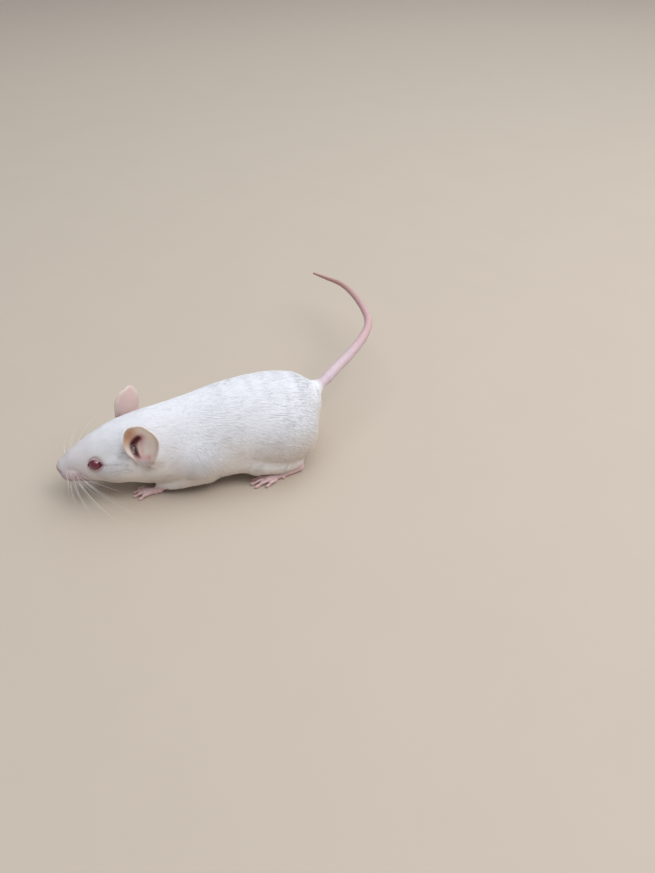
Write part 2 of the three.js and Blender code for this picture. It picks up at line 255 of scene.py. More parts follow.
def trunkShare(p):
    # 0 on the outline of the trunk and head, less inside and more outside
    x = np.minimum(0.5 * (p[:, 0] + np.hypot(p[:, 0], body["noseFade"])), body["end"])
    back, belly, half, widest, sag = (curve(x) for curve in shape)
    toNose = 1 - np.minimum(p[:, 0] / body["noseRound"], 1)
    toRump = 1 - np.clip((body["end"] - x) / body["rumpRound"], 0, 1)
    rounding = mix(body["rumpShare"], 1, np.sqrt(1 - toRump**2))
    level = belly + (back - belly) * widest
    reach = np.where(p[:, 2] > level, back - level, level - belly) * rounding
    up = (p[:, 2] - level) / reach
    wide = half * rounding * (1 - sag * np.clip(up, -1, 1))
    return np.sqrt((p[:, 1] / wide) ** 2 + up**2 + toNose**2) - 1


def skinField(p):
    q = p.copy()
    q[:, 1] = np.abs(q[:, 1])
    blend = body["blend"]
    d = evened(trunkShare, q) + coatDepth(q[:, 0])
    d = smoothMax(d, q[:, 0] - body["end"] + 1.0, blend["rump"])
    for name, coatAt in (("thigh", 70.0), ("upperArm", 45.0), ("flank", 55.0)):
        d = smoothMin(d, ellipsoidField(q, *body[name]) + coatDepth(coatAt), blend[name])
    for name in ("shank", "forearm"):
        d = smoothMin(d, limbField(q, body[name]) + body["legCoat"], blend[name])
    for name, coatOver in (("cheek", coatDepth(18.0)), ("whiskerPad", body["faceCoat"]),
                           ("chin", body["faceCoat"]), ("nose", 0)):
        d = smoothMin(d, ellipsoidField(q, *body[name]) + coatOver, blend[name])
    onLeft = p[:, 1] < 0
    mound = np.where(onLeft, *(ellipsoidField(earPlace(q, stance), ear["moundAt"], ear["moundHalf"])
                               for stance in ("left", "right")))
    bowl = np.where(onLeft, *(ellipsoidField(earPlace(q, stance), *ear["bowl"])
                              for stance in ("left", "right")))
    d = smoothMax(smoothMin(d, mound, blend["earMound"]), -bowl, blend["earBowl"])
    root = tailAlong < tail["rootLength"]
    tailRoot = nearPath(p, tailPath[root][::3], tailRadii[root][::3])[0] + body["tailCoat"]
    d = smoothMin(d, tailRoot, blend["tail"])
    return smoothMax(d, body["floorGap"] - p[:, 2], blend["floor"])


def earAxes(stance):
    up = unit(ear[stance]["lean"])
    facing = np.array(ear[stance]["face"])
    facing = unit(facing - up * (facing @ up))
    return np.stack([np.cross(up, facing), facing, up])


def earPlace(q, stance):
    # distances across, out of and up an ear
    return (q - np.array(ear[stance]["root"])) @ earAxes(stance).T


def subdivided(points, faces, chosen):
    # the faces whose corners are all chosen, divided in four
    made = bmesh.new()
    verts = [made.verts.new(p) for p in points]
    for f in faces:
        made.faces.new([verts[i] for i in f])
    made.verts.index_update()
    edges = [e for e in made.edges if chosen[e.verts[0].index] and chosen[e.verts[1].index]]
    bmesh.ops.subdivide_edges(made, edges=edges, cuts=1, use_grid_fill=True)
    bmesh.ops.triangulate(made, faces=[f for f in made.faces if len(f.verts) > 4])
    made.verts.index_update()
    points = np.array([v.co for v in made.verts])
    faces = [[v.index for v in f.verts] for f in made.faces]
    made.free()
    return points, faces


def awayFrom(points, middle):
    q = np.array(points)
    q[:, 1] = np.abs(q[:, 1])
    return np.linalg.norm(q - np.array(middle), axis=1)


def meshFrom(name, points, faces):
    mesh = bpy.data.meshes.new(name)
    mesh.from_pydata(toWorld(points), [], faces)
    mesh.update()
    return mesh


def setPoints(mesh, points):
    mesh.vertices.foreach_set("co", toWorld(points).ravel())
    mesh.update()


def normalsOf(mesh):
    flat = np.empty(len(mesh.vertices) * 3)
    mesh.vertices.foreach_get("normal", flat)
    return flat.reshape(-1, 3)


def edgesOf(mesh):
    flat = np.empty(len(mesh.edges) * 2, dtype=np.int64)
    mesh.edges.foreach_get("vertices", flat)
    return flat.reshape(-1, 2)


def relaxed(points, edges, amount, times):
    # each point drawn to its neighbours' middle by its amount
    count = np.bincount(edges.ravel(), minlength=len(points))[:, None]
    for _ in range(times):
        total = np.zeros_like(points)
        for a, b in ((0, 1), (1, 0)):
            for axis in range(3):
                total[:, axis] += np.bincount(edges[:, a], points[edges[:, b], axis], len(points))
        points = points + (total / count - points) * amount[:, None]
    return points


# Finer faces towards the eyes and the mouth.
points, quads = surfaceOf(skinField, body["low"], body["high"], body["step"])
points = settled(skinField, points)
faces = [list(f) for f in quads]
points, faces = subdivided(points, faces, points[:, 0] < 27)
fine = (points[:, 0] < 8.5) | (awayFrom(points, eye["middle"]) < 4.2)
points, faces = subdivided(points, faces, fine)
headPart = points[:, 0] < 29
points[headPart] = settled(skinField, points[headPart], 2)
print("skin surface", len(points), "points")

# The face.
face = {
    "mouth": [(1.1, 0, 9.2), (2.1, 1.3, 8.4), (4.1, 2.8, 7.8), (6.4, 3.8, 7.6), (8.2, 4.2, 7.8)],
    "mouthDepth": 0.4, "mouthWidth": 0.22,
    "philtrum": [(-0.6, 0, 11.4), (-0.1, 0, 10.5), (0.9, 0, 9.4)],
    "philtrumDepth": 0.35, "philtrumWidth": 0.25,
    "nostril": [(-0.7, 0.5, 11.85), (-0.5, 0.85, 12.15), (0.1, 1.3, 12.15), (0.5, 1.55, 11.8)],
    "nostrilDepth": 0.5, "nostrilWidth": 0.2,
    "creases": [[(14.1, 7.7, 15.5), (16.7, 8.6, 15.9), (19.1, 9.1, 16)],
                [(15.3, 9.1, 13.7), (18.3, 9.7, 14.1), (20.1, 9.9, 14.1)],
                [(17.6, 7.4, 18.5), (19.7, 7.2, 20), (21.1, 6.9, 21.2)],
                [(17.7, 7.9, 17.5), (19.2, 8.3, 17.7), (20.7, 8.6, 18)]],
    "creaseDepth": 0.14, "creaseWidth": 0.3,
    "noseTip": (-0.8, 0, 11.9), "noseSize": (1.4, 1.6, 1.3),
    "whiskerColumns": (4, 5, 5, 5, 4), "whiskerFirst": (2.3, 3.4, 11.9),
    "whiskerSteps": (1.05, -0.85), "whiskerDimple": 0.07,
}


def onSkin(path):
    return settled(skinField, smoothPath(path, 6), 6)


def eyeFrame():
    look = unit(eye["look"])
    up = unit(np.array([0, 0, 1.0]) - look * look[2])
    return look, up, np.cross(up, look)


def lidDistance(q):
    # how far outside the opening of the lids each point lies, and whether it faces out of the head
    look, up, along = eyeFrame()
    w = q - np.array(eye["middle"])
    a, b = w @ along, w @ up
    lid = np.where(b > 0, eye["upperLid"], eye["lowerLid"])
    opening = lid * (1 - (a / eye["lidHalf"]) ** 2)
    return np.abs(b) - opening, w @ look


def whiskerRoots():
    # rows on the pad, every other one set a little further back
    firstX, firstY, firstZ = face["whiskerFirst"]
    back, down = face["whiskerSteps"]
    roots = []
    for row, columns in enumerate(face["whiskerColumns"]):
        for column in range(columns):
            x = firstX + column * back + 0.2 * (row % 2)
            roots.append((x, firstY + 0.42 * (x - firstX), firstZ + row * down + 0.05 * column))
    return settled(skinField, np.array(roots), 8)


def withFace(points, normals):
    q = points.copy()
    q[:, 1] = np.abs(q[:, 1])
    inward = np.zeros(len(q))

    def groove(path, depth, width):
        away, _ = nearPath(q, onSkin(path))
        inward[:] += depth * np.exp(-((away / width) ** 2))

    groove(face["mouth"], face["mouthDepth"], face["mouthWidth"])
    groove(face["philtrum"], face["philtrumDepth"], face["philtrumWidth"])
    groove(face["nostril"], face["nostrilDepth"], face["nostrilWidth"])
    for crease in face["creases"]:
        groove(crease, face["creaseDepth"], face["creaseWidth"])
    for root in whiskerRoots():
        away = np.linalg.norm(q - root, axis=1)
        inward -= face["whiskerDimple"] * np.exp(-((away / 0.3) ** 2))
        inward += 2 * face["whiskerDimple"] * np.exp(-((away / 0.13) ** 2))
    moved = points - normals * inward[:, None]
    # the lids: the skin rises to a rim round the opening, and inside it goes behind the ball
    q = moved.copy()
    side = np.sign(q[:, 1])
    q[:, 1] = np.abs(q[:, 1])
    outside, out = lidDistance(q)
    w = q - np.array(eye["middle"])
    ball = np.linalg.norm(w, axis=1)
    rim = eye["radius"] + 0.2
    lidded = np.where(outside < 0, mix(eye["radius"] - 0.4, rim, smoothStep(-0.22, 0.02, outside)),
                      mix(rim, ball, smoothStep(0.25, 1.7, outside)))
    near = (out > -0.6) & (ball < 4.6)
    lidded = np.where(near, lidded, ball)
    q = np.array(eye["middle"]) + w * (lidded / np.maximum(ball, 0.05))[:, None]
    q[:, 1] *= side
    return np.where(near[:, None], q, moved)


skinMesh = meshFrom("skinBody", points, faces)
points = withFace(points, normalsOf(skinMesh))
setPoints(skinMesh, points)
print("face shaped")


# The ears.


def cupPoint(share, sideways, stance):
    # the middle of the ear's shell, share of the way up it and sideways from -1, its rear edge, to 1
    above = np.clip((share - ear["widestAt"]) / (1 - ear["widestAt"]), 0, 1)
    wide = np.where(share <= ear["widestAt"],
                    mix(ear["rootHalfWidth"], ear["halfWidth"],
                        np.sin(np.clip(share / ear["widestAt"], 0, 1) * math.pi / 2)),
                    ear["halfWidth"] * np.clip(1 - above ** ear["roundness"], 0, 1) ** (1 / ear["roundness"]))
    roll = np.radians(mix(ear["rootRoll"], ear["topRoll"], smoothStep(0, 0.7, share)))
    bend = wide / np.sin(roll)
    across, facing, up = earAxes(stance)
    out = bend * (1 - np.cos(sideways * roll)) - ear["hollow"] * np.sin(math.pi * share)
    curled = smoothStep(0.1, 0.4, share) * (1 - smoothStep(0.7, 0.95, share))
    out = out + ear["curl"] * smoothStep(0.8, 1, np.abs(sideways)) * curled
    # the top turns out about as far as the edges do, so that the rim lies nearly flat
    out = out + ear["spoon"][stance] * above**2
    return (np.array(ear[stance]["root"]) + up * (ear["length"] * share)[..., None]
            + across * (bend * np.sin(sideways * roll))[..., None] + facing * out[..., None])


def earWay(way, stance):
    shares, sides = (np.array(column, float) for column in zip(*way))
    return cupPoint(shares, sides, stance)


def alongWay(points, way, values, stance):
    # a ridge's or groove's size at each point: its distance and the value where it is nearest
    path = earWay(way, stance)
    fine = smoothPath(path, 6)
    away, where = nearPath(points, fine)
    marks = np.interp(where, alongOf(fine)[::6], values)
    return away, marks


def earShell(stance):
    rows = np.sin(np.linspace(-0.06, 1, ear["rows"]) * math.pi / 2)
    rows[-1] = 0.9995
    columns = np.sin(np.linspace(-1, 1, ear["columns"]) * math.pi / 2)
    share, side = np.meshgrid(rows, columns, indexing="ij")
    middle = cupPoint(share, side, stance)
    step = 1e-3
    alongUp = cupPoint(share + step, side, stance) - cupPoint(share - step, side, stance)
    alongSide = cupPoint(share, side + step, stance) - cupPoint(share, side - step, stance)
    normal = unit(np.cross(alongSide, alongUp))
    flat = middle.reshape(-1, 3)
    away, depth = alongWay(flat, ear["slit"], ear["slitDepth"], stance)
    slit = (depth * np.exp(-((away / ear["slitWidth"]) ** 2))).reshape(share.shape)
    away, height = alongWay(flat, ear["ridge"], ear["ridgeHeight"], stance)
    ridge = (height * np.exp(-((away / ear["ridgeWidth"]) ** 2))).reshape(share.shape)
    rim = np.clip((np.maximum(np.abs(side), share) - ear["rimAt"]) / (1 - ear["rimAt"]), 0, 1)
    rim = np.maximum(rim, np.clip((rows[1] - share) / (rows[1] - rows[0]), 0, 1))
    half = mix(*ear["thick"], smoothStep(0, 0.6, share)) / 2 * np.sqrt(np.clip(1 - rim**2, 0, 1))
    front = middle + normal * (half + ridge - slit)[..., None]
    rear = middle - normal * (half + slit * ear["slitRear"])[..., None]
    nRows, nColumns = share.shape
    index = np.arange(nRows * nColumns).reshape(share.shape)
    inside = np.zeros(share.shape, bool)
    inside[1:-1, 1:-1] = True
    rearIndex = index.copy()
    rearIndex[inside] = nRows * nColumns + np.arange(inside.sum())
    points = np.vstack([np.where(inside[..., None], front, middle).reshape(-1, 3), rear[inside]])

    def cells(grid, turned):
        a, b, c, d = grid[:-1, :-1], grid[:-1, 1:], grid[1:, 1:], grid[1:, :-1]
        return np.stack([a, d, c, b] if turned else [a, b, c, d], -1).reshape(-1, 4)

    faces = np.vstack([cells(index, False), cells(rearIndex, True)])
    if stance == "left":
        points, faces = points * [1, -1, 1], faces[:, ::-1]
    return points, faces


# The feet.
feet = {
    "fore": {"heel": (28.4, 8.8), "ball": (23.8, 8.2), "halfWidth": 1.7, "height": 2.3, "radius": 0.55,
             "leg": [(28.3, 8.9, 2.0), (32, 9.9, 3.2)], "legRadius": 1.1, "claw": 1.0, "step": 0.2,
             "digits": [((24.6, 7.0), (21.4, 5.3)), ((23.8, 7.7), (19.6, 6.8)), ((23.8, 8.6), (19.4, 8.7)),
                        ((24.6, 9.4), (21.0, 10.7))],
             "pads": [(23.6, 7.2), (23.2, 8.3), (23.8, 9.3), (26.6, 8.1), (26.7, 9.3)]},
    "hind": {"heel": (75, 13.8), "ball": (63.4, 15.3), "halfWidth": 1.8, "height": 2.6, "radius": 0.6,
             "leg": [(74.9, 13.7, 2.2), (71, 13.7, 3.8)], "legRadius": 1.25, "claw": 1.2, "step": 0.24,
             "digits": [((65.4, 14.0), (61.8, 12.6)), ((63.8, 14.4), (57.8, 13.7)),
                        ((63.2, 15.3), (56.8, 15.6)), ((63.6, 16.2), (57.8, 17.5)),
                        ((65.4, 16.8), (61.4, 18.5))],
             "pads": [(64.2, 14.2), (62.9, 14.9), (63.0, 16.0), (64.6, 16.6), (67.4, 14.4), (68.4, 15.8)]},
}


# What the feet have in common.
paw = {
    # the sole at its heel, middle and ball: shares of the foot's height and of its half width
    "soleHeights": (0.48, 0.42, 0.36), "soleWidths": (0.66, 0.68, 0.84),
    # a digit's joints: shares of the way to the claw, and heights and radii as shares of its radius
    "joints": (0, 0.3, 0.55, 0.8, 1), "jointHeights": (1.9, 2.0, 2.15, 1.25, 0.95),
    "jointRadii": (1.0, 0.95, 1.0, 0.82, 0.9), "clawShare": 0.75,
    "padHeight": 0.5, "padRadius": 0.62, "margin": 2.2, "bottom": -0.6, "top": 6.2,
    "blend": {"leg": 0.8, "digit": 0.45, "pad": 0.25, "floor": 0.12},
}


def digitPath(foot, digit):
    # from the knuckle on the foot over its joints to the root of the claw
    (x0, y0), (x1, y1) = digit
    length = math.hypot(x1 - x0, y1 - y0)
    end = 1 - foot["claw"] * paw["clawShare"] / length
    return [(mix(x0, x1, end * t), mix(y0, y1, end * t), foot["radius"] * h)
            for t, h in zip(paw["joints"], paw["jointHeights"])]


def footField(p, foot):
    blend = paw["blend"]
    heel, ball = foot["heel"], foot["ball"]
    places = (heel, (mix(heel[0], ball[0], 0.5), mix(heel[1], ball[1], 0.5)), ball)
    sole = {"path": [(*place, foot["height"] * share) for place, share in zip(places, paw["soleHeights"])],
            "radii": [foot["halfWidth"] * share for share in paw["soleWidths"]]}
    d = limbField(p, sole)
    leg = {"path": foot["leg"], "radii": [foot["legRadius"]] * 2}
    d = smoothMin(d, limbField(p, leg, 1), blend["leg"])
    for digit in foot["digits"]:
        toe = {"path": digitPath(foot, digit),
               "radii": [foot["radius"] * share for share in paw["jointRadii"]]}
        d = smoothMin(d, limbField(p, toe, 2), blend["digit"])
    for x, y in foot["pads"]:
        pad = np.linalg.norm(p - np.array([x, y, paw["padHeight"]]), axis=1) - paw["padRadius"]
        d = smoothMin(d, pad, blend["pad"])
    return smoothMax(d, -p[:, 2], blend["floor"])


def footSurface(foot, side):
    spots = np.array([xy for digit in foot["digits"] for xy in digit] + [leg[:2] for leg in foot["leg"]])
    low = (*(spots.min(0) - paw["margin"]), paw["bottom"])
    high = (*(spots.max(0) + paw["margin"]), paw["top"])
    points, faces = surfaceOf(lambda p: footField(p, foot), low, high, foot["step"])
    points = settled(lambda p: footField(p, foot), points, 2)
    points[:, 2] = np.maximum(points[:, 2], 0)
    if side < 0:
        points, faces = points * [1, -1, 1], faces[:, ::-1]
    return points, faces


# The tail.


def tubeAlong(path, radii, sides):
    # rings carried along a path without twisting, with a point at each end
    tangent = unit(np.gradient(path, axis=0))
    across = unit(np.cross(tangent[0], [0.1, 0.2, 1.0]))
    rings = []
    turns = np.linspace(0, 2 * math.pi, sides, endpoint=False)
    for p, t, r in zip(path, tangent, radii):
        across = unit(across - t * (across @ t))
        other = np.cross(t, across)
        rings.append(p + r * (np.cos(turns)[:, None] * across + np.sin(turns)[:, None] * other))
    points = np.vstack(rings + [path[:1], path[-1:]])
    i = np.arange(len(path) - 1)[:, None] * sides
    j = np.arange(sides)[None, :]
    k = (j + 1) % sides
    walls = np.stack([i + j, i + k, i + sides + k, i + sides + j], -1).reshape(-1, 4).tolist()
    start, end, last = len(points) - 2, len(points) - 1, (len(path) - 1) * sides
    caps = [[start, (a + 1) % sides, a] for a in range(sides)]
    caps += [[end, last + a, last + (a + 1) % sides] for a in range(sides)]
    return points, walls + caps


def tailSurface():
    radii = tailRadii.copy()
    tip = tailAlong[-1] - tailAlong
    radii *= np.sqrt(np.clip(1 - (1 - np.clip(tip / tail["tipRound"], 0, 1)) ** 2, 0.02, 1))
    return tubeAlong(tailPath, radii, tail["sides"])


# One skin from all the parts.
parts = [(points, faces)]
for stance in ("left", "right"):
    parts.append(earShell(stance))
for foot in feet.values():
    for side in (-1, 1):
        parts.append(footSurface(foot, side))
parts.append(tailSurface())
partNames = ["body", "ear", "ear", "foot", "foot", "foot", "foot", "tail"]


def triangles(points, faces):
    made = bmesh.new()
    verts = [made.verts.new(p) for p in points]
    for f in faces:
        made.faces.new([verts[int(i)] for i in f])
    bmesh.ops.triangulate(made, faces=made.faces[:])
    bmesh.ops.recalc_face_normals(made, faces=made.faces[:])
    volume = made.calc_volume(signed=True)
    if volume < 0:
        bmesh.ops.reverse_faces(made, faces=made.faces[:])
    mesh = bpy.data.meshes.new("part")
    made.to_mesh(mesh)
    made.free()
    return mesh


def joinedSkin(parts):
    objects, trees = [], []
    for partPoints, partFaces in parts:
        mesh = triangles(partPoints, partFaces)
        objects.append(bpy.data.objects.new("part", mesh))
        trees.append(BVHTree.FromPolygons([tuple(v.co) for v in mesh.vertices],
                                          [tuple(f.vertices) for f in mesh.polygons]))
    others = bpy.data.collections.new("others")
    for other in objects[1:]:
        others.objects.link(other)
    bpy.context.scene.collection.objects.link(objects[0])
    bpy.context.scene.collection.children.link(others)
    union = objects[0].modifiers.new("union", "BOOLEAN")
    union.operation, union.operand_type, union.solver = "UNION", "COLLECTION", "MANIFOLD"
    union.collection = others
    mesh = bpy.data.meshes.new_from_object(objects[0].evaluated_get(bpy.context.evaluated_depsgraph_get()))
    for one in objects:
        bpy.data.objects.remove(one)
    bpy.data.collections.remove(others)
    joined = bmesh.new()
    joined.from_mesh(mesh)
    bmesh.ops.triangulate(joined, faces=joined.faces[:])
    joined.to_mesh(mesh)
    joined.free()
    flat = np.empty(len(mesh.vertices) * 3)
    mesh.vertices.foreach_get("co", flat)
    made = flat.reshape(-1, 3)
    away = np.array([[tree.find_nearest(Vector(p))[3] for tree in trees] for p in made])
    return mesh, made, away


skinMesh, points, away = joinedSkin(parts)
print("skin joined", len(points), "points", len(skinMesh.polygons), "faces")

# What grows where.


def shade(code):
    # a colour written as #rrggbb, in the linear values that materials use
    parts = [int(code[i : i + 2], 16) / 255 for i in (1, 3, 5)]
    return np.array([c / 12.92 if c <= 0.04045 else ((c + 0.055) / 1.055) ** 2.4 for c in parts])


tones = {
    # belly is painted warm shade, laid on every surface that faces down
    "fur": shade("#ebeaec"), "belly": shade("#ecdfd2"), "snout": shade("#e7dcdb"), "muzzle": shade("#cfb2b3"),
    # nostril is painted shade for the nostrils' openings
    "lip": shade("#c39a98"), "nose": shade("#d9a8a4"), "nostril": shade("#8e5a58"),
    "lidRim": shade("#6b2434"), "lidSkin": shade("#d9a5ab"),
    "earInside": shade("#fbeee4"), "earFront": shade("#d4a888"), "earRear": shade("#cfb5ad"),
    # slit is painted shade for the ear's deep opening
    "earRim": shade("#d8cabf"), "ridge": shade("#d8999a"), "slit": shade("#54161f"), "foot": shade("#dfc0bd"),
    "footTip": shade("#dcb0ad"), "tail": shade("#d8c2c7"), "tailMiddle": shade("#cfaaa9"),
    # crease is painted shade in the folds of the face's fur
    "tailTip": shade("#bf9287"), "crease": shade("#b9afaa"),
}
hair = {
    "length": [(0, 0.5), (3, 0.7), (8, 1.1), (14, 1.6), (24, 2.3), (34, 3.0), (48, 3.4), (78, 3.4),
               (87, 2.0)],
    "legLength": 2.0, "footLength": 0.7, "lidLength": 0.5, "earLength": 1.4, "tailLength": 1.3,
    "width": 0.06, "widthByLength": 0.036, "cover": 4.3, "lift": 0.035, "earLift": 0.22, "whirl": 0.07,
    "clear": 0.05, "earClear": 0.16, "liftMost": 0.45,
}
lies = {"trunk": (1, 0, -0.12), "flank": (0.9, 0, -0.5), "thigh": (0.85, 0, -0.6), "arm": (0.2, 0, -0.95),
        "forearm": (-0.75, -0.1, -0.65), "shank": (1, 0, -0.3)}


def waves(p, size, seed, count=7):
    # a smooth random value from -1 to 1 over space
    random = np.random.default_rng(seed)
    total = np.zeros(len(p))
    for _ in range(count):
        total += np.sin(p @ unit(random.normal(size=3)) * (2 * math.pi / size) * random.uniform(0.6, 1.5)
                        + random.uniform(0, 2 * math.pi))
    return total / math.sqrt(count)


def blended(base, other, share):
    return mix(base, np.asarray(other, float), np.clip(share, 0, 1)[:, None])


def faceTones(tone, p, q):
    # muzzle, mouth, nose and nostrils, and how much of the lip and of the nose is at each point
    padAway = np.linalg.norm((q - np.array(body["whiskerPad"][0])) / [5.0, 4.2, 4.2], axis=1)
    uneven = 1 + 0.35 * waves(p, 2.4, 8)
    tone = blended(tone, tones["muzzle"], 0.8 * (1 - smoothStep(0.45, 1.05, padAway)) * uneven)
    for root in whiskerRoots():
        tone = blended(tone, tones["lip"], 0.6 * np.exp(-((np.linalg.norm(q - root, axis=1) / 0.22) ** 2)))
    mouthAway, _ = nearPath(q, onSkin(face["mouth"]))
    # painted shade: the face's creases are coloured grey along their grooves
    for crease in face["creases"]:
        creaseAway, _ = nearPath(q, onSkin(crease))
        tone = blended(tone, tones["crease"], 0.7 * np.exp(-((creaseAway / face["creaseWidth"]) ** 2)))
    lip = 0.7 * (1 - smoothStep(0.15, 0.6, mouthAway))
    tone = blended(tone, tones["lip"], lip)
    noseAway = np.linalg.norm((q - np.array(face["noseTip"])) / face["noseSize"], axis=1)
    nose = 1 - smoothStep(0.85, 1.15, noseAway)
    tone = blended(tone, tones["nose"], nose)
    # painted shade: the nostrils' openings are coloured dark along their grooves
    nostrilAway, _ = nearPath(q, onSkin(face["nostril"]))
    tone = blended(tone, tones["nostril"], np.exp(-((nostrilAway / 0.24) ** 2)))
    return tone, lip, nose


def earTones(tone, p, q, normal, names):
    # the ears' inside and rear, how much of an ear is at each point, and how far it is from the hollow
    # in front of the ear's foot
    onLeft = p[:, 1] < 0
    bowl, bare = np.full(len(p), 9.0), np.zeros(len(p))
    for stance in ("left", "right"):
        here = onLeft == (stance == "left")
        across, facing, up = earAxes(stance)
        place = earPlace(q, stance)
        inFront = smoothStep(-0.3, 0.3, (normal * [1, -1 if stance == "left" else 1, 1]) @ facing)
        isEar = here & (names == "ear")
        bowl = np.where(here, ellipsoidField(place, *ear["bowl"]), bowl)
        slitAway, _ = alongWay(q, ear["slit"], ear["slitDepth"], stance)
        ridgeAway, _ = alongWay(q, ear["ridge"], ear["ridgeHeight"], stance)
        inner = blended(np.tile(tones["earInside"], (len(p), 1)), tones["earFront"],
                        smoothStep(0.5, 4.0, place[:, 0]) * smoothStep(2.0, 8.0, place[:, 2]))
        inner = blended(inner, tones["ridge"], np.exp(-((ridgeAway / 1.1) ** 2)))
        # painted shade: the ear's opening is coloured dark red along the slit
        inner = blended(inner, tones["slit"], np.exp(-((slitAway / 1.15) ** 4)))
        inner = blended(inner, tones["ridge"], 0.7 * (1 - smoothStep(0.0, 2.2, place[:, 2])))
        both = blended(np.tile(tones["earRear"], (len(p), 1)), inner, inFront)
        edge = np.linalg.norm((place[:, [0, 2]] - [0, ear["length"] * 0.5])
                              / [ear["halfWidth"], ear["length"] * 0.5], axis=1)
        rearward = smoothStep(-1.0, -4.5, place[:, 0])
        both = blended(both, tones["earRim"], np.maximum(0.5 * smoothStep(0.88, 1.0, edge),
                                                         0.75 * rearward * smoothStep(0.55, 0.9, edge)))
        inside = 1 - smoothStep(0.5, 1.1, bowl)
        share = here * np.maximum(1 - smoothStep(0.05, 0.6, bowl), inside * smoothStep(0.2, 1.0, place[:, 2]))
        share = np.where(isEar, 1.0, share) * smoothStep(-1.0, 0.3, place[:, 2])
        share = np.maximum(share, here * np.exp(-((slitAway / 1.2) ** 4)) * smoothStep(0.4, 1.0, place[:, 2]))
        tone = mix(tone, both, share[:, None])
        bare = np.maximum(bare, share)
    return tone, bare, bowl


def footAndTailTones(tone, q, names, away, tailAway, tailAt):
    feetAway = away[:, [i for i, name in enumerate(partNames) if name == "foot"]].min(1)
    foot = np.where(names == "foot", 1.0, 1 - smoothStep(0, 1.5, feetAway))
    footTone = blended(np.tile(tones["foot"], (len(q), 1)), tones["footTip"],
                       1 - smoothStep(0.5, 1.6, q[:, 2]))
    tone = mix(tone, footTone, foot[:, None])
    onTail = np.where((names == "tail") | (tailAway < 2.6),
                      smoothStep(tail["furRoot"], tail["furRoot"] + 3, tailAt), 0)
    tailTone = blended(np.tile(tones["tail"], (len(q), 1)), tones["tailMiddle"], smoothStep(12, 50, tailAt))
    tailTone = blended(tailTone, tones["tailTip"], smoothStep(50, 95, tailAt))
    return mix(tone, tailTone, onTail[:, None]), foot, onTail


def hairLie(p, q, normal, armAway, shankAway, tailAway, tailAt):
    # which way the hair lies at each point, along the skin
    low = smoothStep(0.2, 0.9, -normal[:, 2])
    steep = smoothStep(0.35, 0.9, np.abs(normal[:, 1]))
    lie = blended(np.tile(np.array(lies["trunk"], float), (len(p), 1)), lies["flank"], steep * (1 - low))
    lie = blended(lie, lies["thigh"], 1 - smoothStep(-0.5, 2.5, ellipsoidField(q, *body["thigh"])))
    lie = blended(lie, lies["arm"], 1 - smoothStep(-0.5, 2.5, ellipsoidField(q, *body["upperArm"])))
    lie = blended(lie, lies["forearm"], (1 - smoothStep(0.2, 2.0, armAway)) * (q[:, 0] < 43))
    lie = blended(lie, lies["shank"], 1 - smoothStep(0.2, 2.0, shankAway))
    lie[:, 1] *= np.sign(p[:, 1])
    fromEye = p - np.array(eye["middle"]) * np.where(p[:, 1] < 0, -1, 1)[:, None] ** [0, 1, 0]
    lie += unit(fromEye) * (1.4 * np.exp(-((np.linalg.norm(fromEye, axis=1) / 3.4) ** 4)))[:, None]
    tailWay = np.gradient(tailPath, axis=0)[np.searchsorted(tailAlong, tailAt).clip(0, len(tailPath) - 1)]
    lie = blended(lie, unit(tailWay), 1 - smoothStep(2.2, 6.0, tailAway))
    whirl = np.cross(normal, lie) * (hair["whirl"] * (waves(p, 11, 3) + 0.6 * waves(p, 4, 4)))[:, None]
    lie = lie + whirl
    return unit(lie - normal * (lie * normal).sum(1)[:, None])


def hairLift(p, lie, normal, length, atEar, onBody):
    # how far the hair stands off; where the skin bends up ahead of a lock, its tip still stays outside
    lift = hair["lift"] * (1 + 0.35 * waves(p, 5, 5)) + hair["earLift"] * atEar
    clear = hair["clear"] + hair["earClear"] * atEar
    for share in (0.5, 1.0):
        reach = (length * share)[:, None]
        ahead = skinField(p + (lie + normal * lift[:, None]) * reach)
        short = np.clip(clear * share - ahead, 0, 1) / (length * share)
        lift = np.where(onBody, np.minimum(lift + short, np.maximum(lift, hair["liftMost"])), lift)
    return lift


